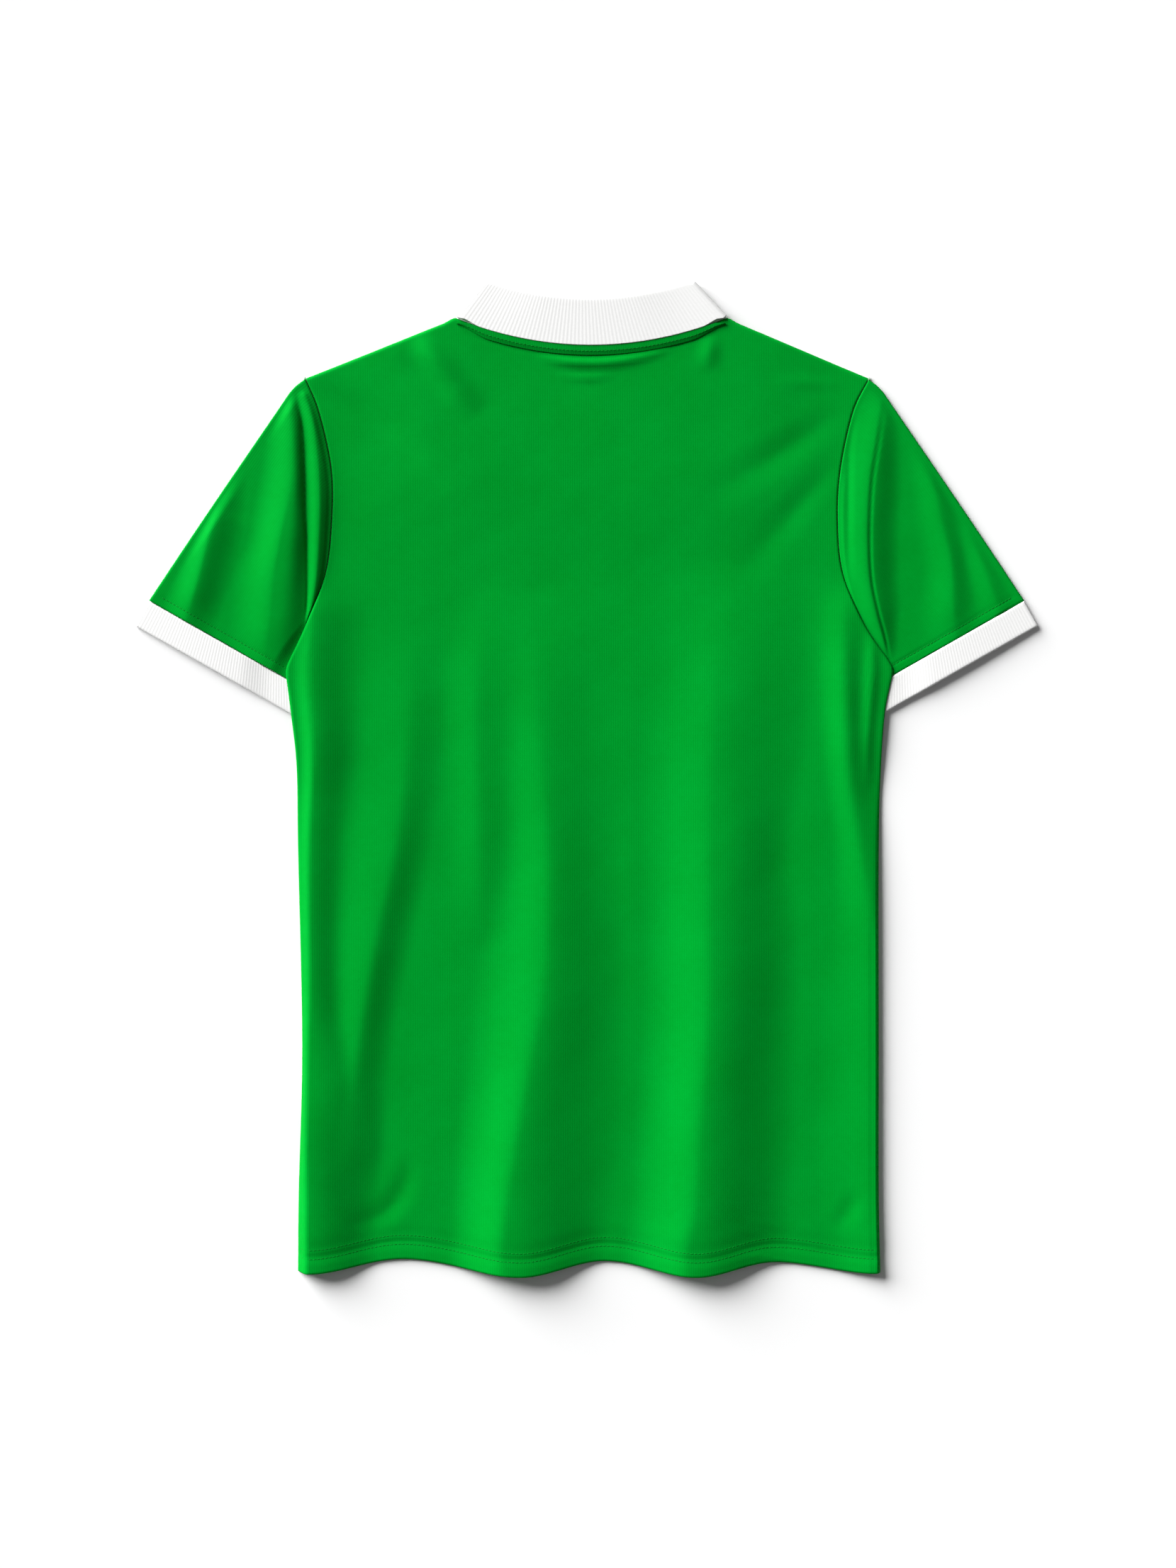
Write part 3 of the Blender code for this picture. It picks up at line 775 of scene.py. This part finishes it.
# %% What the back rests on
def back_rest(x, y):
    """How high the back's underside rests: over the front, and over the collar and the cuffs."""
    over_collar = eased(y, 150.0, 250.0) * (1 - eased(abs(x - CENTRE_X), 118.0, 200.0))
    over_cuff = eased(abs(x), 170.0, 214.0) * eased(y, -20.0, 40.0) * (1 - eased(y, 128.0, 165.0))
    return BACK_REST + (OVER_RIB - BACK_REST) * np.maximum(over_collar, over_cuff)


# %% The back's grid
columns = spread((0.007, 6), (0.03, 5), (0.1, 10), (0.9, 116), (0.97, 10), (0.993, 5), (1.0, 6))
rows = spread((0.004, 4), (0.055, 28), (0.6, 84), (0.985, 74), (1.0, 7))
left, right = side(-1), side(1)
bottom_x = np.linspace(left.at(0.0)[0], right.at(0.0)[0], 120)
bottom = Route(np.stack([bottom_x, hem_y(bottom_x)], axis=-1))
neck_x = np.linspace(CENTRE_X - NECK_HALF, CENTRE_X + NECK_HALF, 81)
neck = Route(np.stack([neck_x, neck_y(neck_x) - SEAM_GAP], axis=-1))
top = Chain((NECK_SHARE, Route(shoulder(-1))), (1 - NECK_SHARE, neck), (1.0, Route(shoulder(1)[::-1])))
plan = patch(bottom, top, left, right, columns, rows)
x, y = plan[..., 0], plan[..., 1]

# Distances in millimetres to the panel's own edges, for its hem, seams and rolled sides.
from_left, from_right = x - x[:1], x[-1:] - x
from_side = np.minimum(from_left, from_right)
from_hem = y - hem_y(x)
from_top = np.hypot(x - x[:, -1:], y - y[:, -1:])
on_armhole = eased(y, ARMPIT_Y + 30.0, ARMPIT_Y + 60.0)
print("back's grid:", plan.shape[:2])

# %% The back panel
HEM_DEPTH = 15.0
HEM_STITCHES = (12.0, 19.0)
SIDE_SEAM = 4.6

back_z = back_rest(x, y) + CLOTH_WALL + folds_rise(BODY_FOLDS, x, y) + creases_rise(BACK_CREASES, x, y)
back_z += unevenness(x, y, 0.1) * eased(from_side, 0.0, 40.0)

# The turned hem's edge shows as a fine line, with a shallow hollow above it.
above_hem = from_hem - HEM_DEPTH
back_z -= 0.7 * np.where(above_hem > 0, groove(above_hem, 1.0), 1 - eased(-above_hem, 0.0, 9.0))
back_z -= 0.4 * groove(above_hem - 5.0, 6.0) * (above_hem > 0)
back_z -= rolled(from_hem, 1.0, 1.6)

# The sides roll down. The right side is a fold's crest, so its roll is as deep as that fold is high.
edge_fold = ridge(BODY_FOLDS["right_side"], x[-1:], y[-1:])
right_roll = rolled(from_right, 1.0, 3.6) * (0.8 + edge_fold)
side_roll = np.where(x > 0, right_roll, rolled(from_left, 1.4, 2.6)) * (1 - on_armhole)
armhole_roll = rolled(from_side, 1.0, 1.8) * on_armhole * (1 - 0.8 * eased(y, 292.0, TIP_Y))
back_z -= np.maximum(side_roll + armhole_roll, rolled(from_top, 1.2, 2.4))

# Low down, the right side's seam has come round to the back. The neck strip's foot presses the cloth.
low_down = 1 - eased(y, -130.0, -90.0)
back_z -= 0.8 * groove(from_right - SIDE_SEAM, 0.8) * low_down * (x > 0)
below_strip = neck_y(x) - STRIP_FOOT - 0.6 - y
back_z -= 0.5 * groove(below_strip, 1.1) * (1 - eased(abs(x - CENTRE_X), 84.0, 104.0))

upper, lower = np.dstack([x, y, back_z]), np.dstack([x, y, back_z - CLOTH_SHOWN])
back = cloth("back_panel", upper, lower, plan, green_knit)
lay(back, "back")
for number, distance in enumerate(HEM_STITCHES, 1):
    hem_line = line_at(plan, back_z, from_hem, distance)
    stitch_row(f"hem_stitches_{number}", hem_line[4:-4], green_thread)

# %% [markdown]
# ## The front
#
# The front lies flat on the table, and from above the back hides nearly all of it. Its neck is cut
# down to a point for the collar, and it is drawn in at the armpits, where the sleeves and cuffs lie
# beside it.

# %% The front panel
UNDERARM = (226.0, 108.0)
CUFF_SEAM_IN = (223.0, 71.0)
CUFF_OUT = (357.2, 121.0)
CUFF_IN = (221.0, 44.0)
FRONT_HEM_INSET = 1.5


def front_side(sign):
    """The front's side: along the back's, in past the cuff and the armpit, and up the armhole."""
    edge = side_points(sign)
    lower = [(edge[0][0], edge[0][1] + FRONT_HEM_INSET)]
    lower += [p for p in edge if -370 < p[1] < CUFF_IN[1] - 22]
    hollow = [(sign * (CUFF_IN[0] - 4), CUFF_IN[1] - 4), (sign * (UNDERARM[0] - 14), UNDERARM[1] + 6)]
    armhole = [(px - sign * SEAM_GAP, py) for px, py in edge if UNDERARM[1] + 26 < py]
    drawn_in = Route([lower[-1], *hollow, armhole[0]])
    return Chain((0.5, Route(lower)), (0.65, drawn_in), (1.0, Route(armhole)))


columns = spread((0.01, 4), (0.25, 16), (0.75, 40), (0.99, 16), (1.0, 4))
rows = spread((0.01, 4), (0.5, 46), (0.65, 14), (0.995, 36), (1.0, 3))
left, right = front_side(-1), front_side(1)
bottom_x = np.linspace(left.at(0.0)[0], right.at(0.0)[0], 120)
bottom = Route(np.stack([bottom_x, hem_y(bottom_x) + FRONT_HEM_INSET], axis=-1))
point = (CENTRE_X, FRONT_NECK_Y - SEAM_GAP)
tips = [Route([left.at(1.0), *shoulder(-1)[1:]]), Route([*shoulder(1)[:0:-1], right.at(1.0)])]
down, up = Route([shoulder(-1)[2], point]), Route([point, shoulder(1)[2]])
top = Chain((NECK_SHARE, tips[0]), (0.5, down), (1 - NECK_SHARE, up), (1.0, tips[1]))
plan = patch(bottom, top, left, right, columns, rows)
x, y = plan[..., 0], plan[..., 1]
from_top = np.hypot(x - x[:, -1:], y - y[:, -1:])
from_edge = np.minimum.reduce([x - x[:1], x[-1:] - x, y - y[:, :1], from_top])
upper = np.dstack([x, y, CLOTH_WALL - rolled(from_edge, 0.3, 1.0)])
lower = np.dstack([x, y, rolled(from_edge, 0.5, 1.5)])
front = cloth("front_panel", upper, lower, plan, green_knit)
lay(front, "front")

# %% [markdown]
# ## Flattened tubes
#
# A sleeve and a cuff are tubes pressed flat: an upper layer, a lower one on the table, and two round
# edges. One function makes both, from a plan that gives a point for each share across and along.

# %% Tube helper
EDGE_TURN = 7


def round_edge(edge, away, rise, middle, radius, turns):
    """Sections round one edge of a flattened tube, as it turns from one layer to the other."""
    sections = []
    for turn in turns:
        place = edge + away * radius * abs(math.sin(turn))
        lift = middle + radius * math.cos(turn) + rise * (1 + math.cos(turn)) / 2
        sections.append(np.concatenate([place, lift[:, None]], axis=1))
    return np.array(sections)


def flat_tube(name, plan, rise, wall, shown, material):
    """plan is a grid of plan points from the outer edge to the inner, and rise the upper layer's."""
    middle = wall + TUBE_GAP / 2
    away = plan[[0, -1]] - plan[len(plan) // 2]
    away /= np.linalg.norm(away, axis=-1, keepdims=True)
    turns = np.linspace(0, np.pi, EDGE_TURN + 2)[1:-1]
    grids = []
    for radius in (TUBE_GAP / 2 + wall, TUBE_GAP / 2 + wall - shown):
        upper = np.dstack([plan, middle + radius + rise])
        inner_edge = round_edge(plan[-1], away[1], rise[-1], middle, radius, turns)
        lower = np.dstack([plan[::-1], np.full(rise.shape, middle - radius)])
        outer_edge = round_edge(plan[0], away[0], rise[0], middle, radius, turns + np.pi)
        grids.append(np.concatenate([upper, inner_edge, lower, outer_edge]))
    outer, inner = grids
    around = np.cumsum(np.linalg.norm(np.diff(outer, axis=0, prepend=outer[:1]), axis=-1), axis=0)
    along = np.cumsum(np.linalg.norm(np.diff(outer, axis=1, prepend=outer[:, :1]), axis=-1), axis=1)
    cut = np.dstack([np.broadcast_to(around.mean(axis=1)[:, None], around.shape), along])
    return cloth(name, outer, inner, cut, material, tube=True)


# %% [markdown]
# ## Sleeves
#
# Each sleeve is set in at the armhole. Beside the seam a fold stands up with a sharp crease next to
# it, and softer folds fan out to the cuff. Left and right are not alike, because the two arms were
# laid down separately.

# %% Folds of the sleeves
SLEEVE_OUTER = ((222.4, 316.2), (233.0, 307.4), (246.0, 289.0), (300.0, 209.8), (346.0, 141.0))
SLEEVE_FOLDS = {
    # x outwards from the middle, y, rise, reach inwards, reach outwards, how far out each flank is
    # steepest: outwards, then inwards
    "left": {
        "beside_seam": (
            (222, 302, 1.6, 8, 8, 1.0, 0.8),
            (216, 280, 3.0, 10, 11, 1.0, 0.8),
            (212, 246, 4.2, 12, 14, 1.1, 0.8),
            (211, 216, 4.6, 12, 14, 1.1, 0.8),
            (212, 186, 4.4, 11, 12, 1.1, 0.8),
            (214, 156, 3.6, 9, 9, 1.1, 0.8),
            (218, 134, 2.4, 8, 5, 1.1, 0.8),
            (223, 116, 0.6, 5, 4, 1.0, 0.8),
        ),
        "first": (
            (237, 300, 2.2, 10, 14, 0.8, 1.0),
            (233, 280, 4.2, 11, 20, 0.8, 1.2),
            (232, 246, 5.4, 12, 26, 0.8, 1.3),
            (234, 224, 6.0, 15, 28, 0.8, 1.5),
            (239, 200, 6.4, 22, 28, 0.8, 1.8),
            (243, 180, 6.6, 25, 28, 0.8, 1.9),
            (247, 156, 6.2, 29, 34, 0.8, 1.9),
            (249, 130, 5.4, 31, 34, 0.8, 1.7),
            (252, 106, 4.2, 32, 34, 0.8, 1.4),
            (255, 84, 3.2, 32, 32, 0.8, 1.2),
        ),
        "outer": (
            (278, 254, 0.0, 16, 10, 0.8, 0.8),
            (287, 234, 2.2, 20, 12, 0.8, 0.8),
            (294, 205, 3.6, 24, 14, 0.8, 0.8),
            (301, 180, 4.2, 26, 16, 0.8, 0.8),
            (307, 156, 4.4, 26, 20, 0.8, 0.8),
            (315, 130, 4.0, 26, 22, 0.8, 0.8),
            (320, 112, 3.4, 26, 22, 0.8, 0.8),
        ),
    },
    "right": {
        "beside_seam": (
            (234, 304, 0.4, 20, 14, 0.8, 0.8),
            (229, 268, 3.4, 28, 20, 0.9, 0.8),
            (224, 237, 4.4, 30, 26, 1.0, 0.8),
            (221, 206, 4.8, 30, 27, 1.0, 0.8),
            (221, 176, 5.0, 28, 27, 1.0, 0.8),
            (223, 153, 4.8, 24, 25, 1.0, 0.8),
            (228, 130, 4.2, 18, 22, 0.9, 0.8),
            (234, 112, 2.6, 12, 14, 0.8, 0.8),
            (239, 94, 0.0, 6, 8, 0.8, 0.8),
        ),
        "first": (
            (262, 270, 0.0, 14, 14, 0.8, 0.8),
            (272, 240, 1.4, 18, 16, 0.8, 0.8),
            (281, 200, 2.2, 22, 16, 0.8, 0.8),
            (288, 170, 2.6, 24, 16, 0.8, 0.8),
            (290, 130, 2.6, 28, 20, 0.8, 0.8),
            (294, 96, 2.0, 28, 20, 0.8, 0.8),
        ),
        "outer": (
            (300, 202, 0.0, 14, 12, 0.8, 0.8),
            (314, 166, 1.4, 16, 14, 0.8, 0.8),
            (326, 134, 2.0, 18, 16, 0.8, 0.8),
            (332, 116, 1.8, 18, 16, 0.8, 0.8),
        ),
    },
}
SLEEVE_CREASES = {
    # x outwards from the middle, y, rise, half width: the sharp line where two folds meet
    "left": {
        "valley": (
            (229, 298, 0.0, 2.2),
            (225, 280, -0.8, 2.2),
            (223, 246, -1.0, 2.2),
            (222.6, 216, -1.0, 2.2),
            (221, 186, -1.0, 2.2),
            (220.4, 156, -0.9, 2.2),
            (221, 134, -0.6, 2.2),
            (223, 116, 0.0, 2.2),
        ),
        "elbow": ((300, 232, 0.0, 9), (284, 214, -0.5, 10), (262, 206, 0.0, 10)),
    },
    "right": {
        "beside": (
            (213, 290, 0.0, 6), (208, 262, -0.6, 6), (207, 220, -0.8, 6),
            (207, 180, -0.5, 6), (209, 150, 0.0, 6),
        ),
        "edge": (
            (236, 300, 0.0, 2.4),
            (231, 268, -0.7, 2.4),
            (226, 237, -0.9, 2.4),
            (224, 206, -0.9, 2.4),
            (224, 176, -0.9, 2.4),
            (226, 153, -0.9, 2.4),
            (231, 130, -0.9, 2.4),
            (236, 112, -0.9, 2.4),
            (240, 92, 0.0, 2.4),
        ),
    },
}


# %% The two sleeves
SLEEVE_COLUMNS = spread((0.03, 5), (0.1, 9), (0.9, 130), (1.0, 16))
SLEEVE_ROWS = spread((0.03, 7), (0.9, 78), (0.97, 14), (1.0, 6))
ARMHOLE_GAP = 0.4
CUFF_STITCH = 7.0


def sleeve(side_name, sign):
    """A sleeve's plan, its folds, its cloth and the stitches beside its cuff."""
    edge = side_points(sign)
    armhole = Route([*edge[edge[:, 1] > UNDERARM[1] + 14][::-1], (sign * UNDERARM[0], UNDERARM[1])])
    outer = Route(through(SLEEVE_OUTER) * (sign, 1.0)).inset(-sign * (CLOTH_WALL + TUBE_GAP / 2))
    outer = Route([*outer.points[:0:-1], armhole.at(0.0)])
    inner = Route([(sign * CUFF_SEAM_IN[0], CUFF_SEAM_IN[1]), (sign * UNDERARM[0], UNDERARM[1])])
    seam = Route([outer.at(0.0), inner.at(0.0)])
    plan = patch(seam, armhole, outer, inner, SLEEVE_COLUMNS, SLEEVE_ROWS)
    plan[..., 0] += sign * ARMHOLE_GAP * SLEEVE_ROWS[None]
    x, y = plan[..., 0], plan[..., 1]
    width = np.linalg.norm(plan[:1] - plan[-1:], axis=-1)
    to_edge = SLEEVE_COLUMNS[:, None] * width
    to_inner = (1 - SLEEVE_COLUMNS[:, None]) * width
    from_armhole = np.linalg.norm(plan - plan[:, -1:], axis=-1)
    from_cuff = np.linalg.norm(plan - plan[:, :1], axis=-1)
    calm = eased(to_edge, 0.0, 9.0) * eased(to_inner, 17.0, 32.0) * eased(from_armhole, 0.0, 7.0)
    rise = folds_rise(SLEEVE_FOLDS[side_name], sign * x, y, 0.4) * calm
    rise *= 1 - 0.35 * (1 - eased(from_cuff, 0.0, 26.0))
    rise += creases_rise(SLEEVE_CREASES[side_name], sign * x, y) * calm
    rise += unevenness(x + 40, y, 0.1) * calm
    rise -= 0.3 * groove(from_cuff - CUFF_STITCH, 1.2) * calm
    rise -= np.maximum(rolled(from_armhole, 1.0, 2.4), rolled(from_cuff, 0.7, 1.4))
    piece = flat_tube(f"sleeve_{side_name}_cloth", plan, rise, CLOTH_WALL, CLOTH_SHOWN, green_knit)
    lay(piece, f"sleeve_{side_name}")
    top = 2 * CLOTH_WALL + TUBE_GAP + rise
    row = line_at(plan, top, from_cuff, CUFF_STITCH)
    stitch_row(f"sleeve_{side_name}_stitches", row[6:-6], green_thread)


for name, sign in (("left", -1), ("right", 1)):
    sleeve(name, sign)

# %% [markdown]
# ## Cuffs
#
# A cuff is a band of white rib, joined into a ring and sewn to the sleeve's end. Pressed flat it
# shows as a straight strip, and its ribs run along the arm.

# %% The two cuffs
CUFF_ROWS = spread((0.06, 4), (0.94, 16), (1.0, 5))
CUFF_COLUMNS = spread((0.03, 4), (0.97, 60), (1.0, 4))
CUFF_DEPTH = 25.0


def cuff(side_name, sign):
    """A cuff between the sleeve's end and its own edge. It stands up a little along its middle."""
    radius = RIB_WALL + TUBE_GAP / 2
    upper = Route([(sign * px, py) for px, py in (SLEEVE_OUTER[-1], CUFF_SEAM_IN)])
    lower = Route([(sign * px, py) for px, py in (CUFF_OUT, CUFF_IN)])
    width = upper.length[-1]
    inside = radius / width + CUFF_COLUMNS * (1 - 2 * radius / width)
    down = lower.at(0.5) - upper.at(0.5)
    start = upper.at(inside) + down / np.linalg.norm(down) * SEAM_GAP
    end = lower.at(inside)
    plan = start[:, None] + CUFF_ROWS[None, :, None] * (end - start)[:, None]
    from_seam = CUFF_ROWS * CUFF_DEPTH
    to_edge = CUFF_DEPTH - from_seam
    lift = 1.5 * np.sin(np.pi * CUFF_COLUMNS) * (1 - eased(CUFF_COLUMNS, 0.6, 0.8))
    rise = lift[:, None] - np.maximum(rolled(from_seam, 0.8, 1.6), rolled(to_edge, 1.0, 1.8))
    piece = flat_tube(f"cuff_{side_name}_knit", plan, rise, RIB_WALL, RIB_SHOWN, white_knit)
    lay(piece, f"cuff_{side_name}")


for name, sign in (("left", -1), ("right", 1)):
    cuff(name, sign)

# %% [markdown]
# ## Collar
#
# The collar is one knitted band folded in two along its top: the stand inside, and the leaf turned
# down outside. From the back it shows as a white crescent with two flat corners, where the fold
# turns over at the sides of the neck and runs down to the front's point.

# %% The collar's shape
COLLAR_TOP, COLLAR_TOP_X, COLLAR_DIP, COLLAR_HALF_TOP = 393.8, 1.8, 14.0, 83.0
COLLAR_FRONT_DEPTH, FRONT_MEET = 68.0, 0.6
LEAF_LAP, END_CLEAR, FOLD_GAP, RISE = 1.2, 1.2, 0.5, 0.2
FOLD_STEPS = 12


def collar_pair(share):
    """The seam point and the fold point at a share of the back neck, from -1 to 1."""
    px = CENTRE_X + NECK_HALF * share
    fold = (COLLAR_TOP_X + COLLAR_HALF_TOP * share, COLLAR_TOP - COLLAR_DIP * (1 - share * share))
    return np.array((px, neck_y(px))), np.array(fold)


def collar_stations():
    """Seam point, fold point, how far the face has turned over, the way out there, and the lap."""
    reach_out = FOLD_GAP + 2 * RIB_WALL
    halves = []
    for sign in (-1, 1):
        seam, fold = collar_pair(sign)
        edge = (fold - seam) / np.linalg.norm(fold - seam)
        away = np.array((-edge[1], edge[0])) * -sign
        seam, fold = seam - away * reach_out, fold - away * reach_out
        seam_end = np.array((CENTRE_X + sign * FRONT_MEET, FRONT_NECK_Y))
        fold_end = seam_end + (0, COLLAR_FRONT_DEPTH)
        run = [(seam + k * (seam_end - seam), fold + k * (fold_end - fold), math.pi, away, 0.0)
               for k in np.linspace(1, 0, 22)[:-1]]
        corner = [(seam, fold, math.pi * k / FOLD_STEPS, away, 0.0) for k in range(FOLD_STEPS, -1, -1)]
        halves.append(run + corner)
    across = []
    for share in np.linspace(-0.93, 0.93, 72):
        lap = float(eased(1 - abs(share), 0.05, 0.2))
        across.append((*collar_pair(share), 0.0, np.zeros(2), lap))
    return [*halves[0], *across, *halves[1][::-1]]


def collar_section(station, radius):
    """One section through the folded band: up the stand, over the fold and down the leaf."""
    seam, fold, angle, away, lap = station
    width = np.linalg.norm(fold - seam)
    ahead = (fold - seam) / width
    half = FOLD_GAP / 2 + RIB_WALL
    turn = width - half
    stand_end = SEAM_GAP + END_CLEAR * (1 - lap)
    leaf_end = END_CLEAR - lap * (END_CLEAR + LEAF_LAP)
    points = []
    for k in np.linspace(0, 1, FOLD_STEPS):
        points.append((stand_end + (turn - stand_end) * k, -radius))
    for k in np.linspace(0, 1, FOLD_STEPS)[1:-1]:
        points.append((turn + radius * math.sin(math.pi * k), -radius * math.cos(math.pi * k)))
    for k in spread((0.97, 22), (1.0, 5)):
        near = (turn - leaf_end) * (1 - k)
        points.append((turn + (leaf_end - turn) * k, radius - float(rolled(near, 0.3, 0.6))))
    from_middle = abs(seam[0] - CENTRE_X) / NECK_HALF
    found = []
    for reach, offset in points:
        offset += half + RISE
        place = seam + ahead * reach + away * offset * math.sin(angle)
        # At the back the leaf is a little domed, and more towards its fold.
        dome = float(eased(1 - from_middle, 0.05, 0.6)) * (0.2 * (1 - from_middle**2) + 0.9 * reach / width)
        dome *= lap > 0 and offset > half + RISE
        found.append((*place, FOLD_GAP + 2 * RIB_WALL + RISE + offset * math.cos(angle) + dome))
    return found


# %% The collar's knit
AT_FOLD = 20
COLLAR_SHOWN = 0.9

stations = collar_stations()
upper, lower = (
    np.array([collar_section(station, FOLD_GAP / 2 + reach) for station in stations])
    for reach in (RIB_WALL, RIB_WALL - COLLAR_SHOWN)
)
fold_line = upper[:, AT_FOLD]
run = np.cumsum(np.linalg.norm(np.diff(fold_line, axis=0, prepend=fold_line[:1]), axis=-1))
drop = np.cumsum(np.linalg.norm(np.diff(upper, axis=1, prepend=upper[:, :1]), axis=-1), axis=1)
cut = np.dstack([np.broadcast_to(run[:, None], drop.shape), drop])
collar = cloth("collar_knit", upper, lower, cut, white_knit)
lay(collar, "collar")

# %% [markdown]
# ## Neck strip
#
# Under the leaf a narrow strip of the body's cloth covers the neck seam. It stands a little proud of
# the back, so its lower edge draws a dark line, and a row of stitches holds it down.

# %% The neck strip
STITCHED_AT = 8

across, down = np.linspace(-1, 1, 180), spread((0.12, 3), (0.85, 8), (1.0, 5))
strip_x = np.broadcast_to((CENTRE_X + across * STRIP_HALF)[:, None], (len(across), len(down)))
foot = STRIP_FOOT + (STRIP_END - STRIP_FOOT) * eased(abs(across), 0.75, 1.0)[:, None]
upper_y = np.minimum(neck_y(strip_x) - STRIP_TOP, NECK_POINT_Y)
lower_y = np.minimum(neck_y(strip_x) - foot, NECK_POINT_Y - 0.8)
strip_y = upper_y + down * (lower_y - upper_y)
slope = 0.3 * down + 0.9 * eased(down, 0.5, 1.0)
strip_top = OVER_RIB + CLOTH_WALL + GAP + STRIP_WALL
strip_z = strip_top - slope - rolled(strip_y - lower_y, 0.4, 0.8)
plan = np.dstack([strip_x, strip_y])
upper = np.dstack([plan, strip_z])
lower = np.dstack([plan, np.full(strip_x.shape, OVER_RIB + CLOTH_WALL + 0.1)])
strip = cloth("neck_strip", upper, lower, plan, green_knit)
stitch_row("neck_strip_stitches", upper[6:-6, STITCHED_AT], green_thread)
lay(strip, "neck_band")
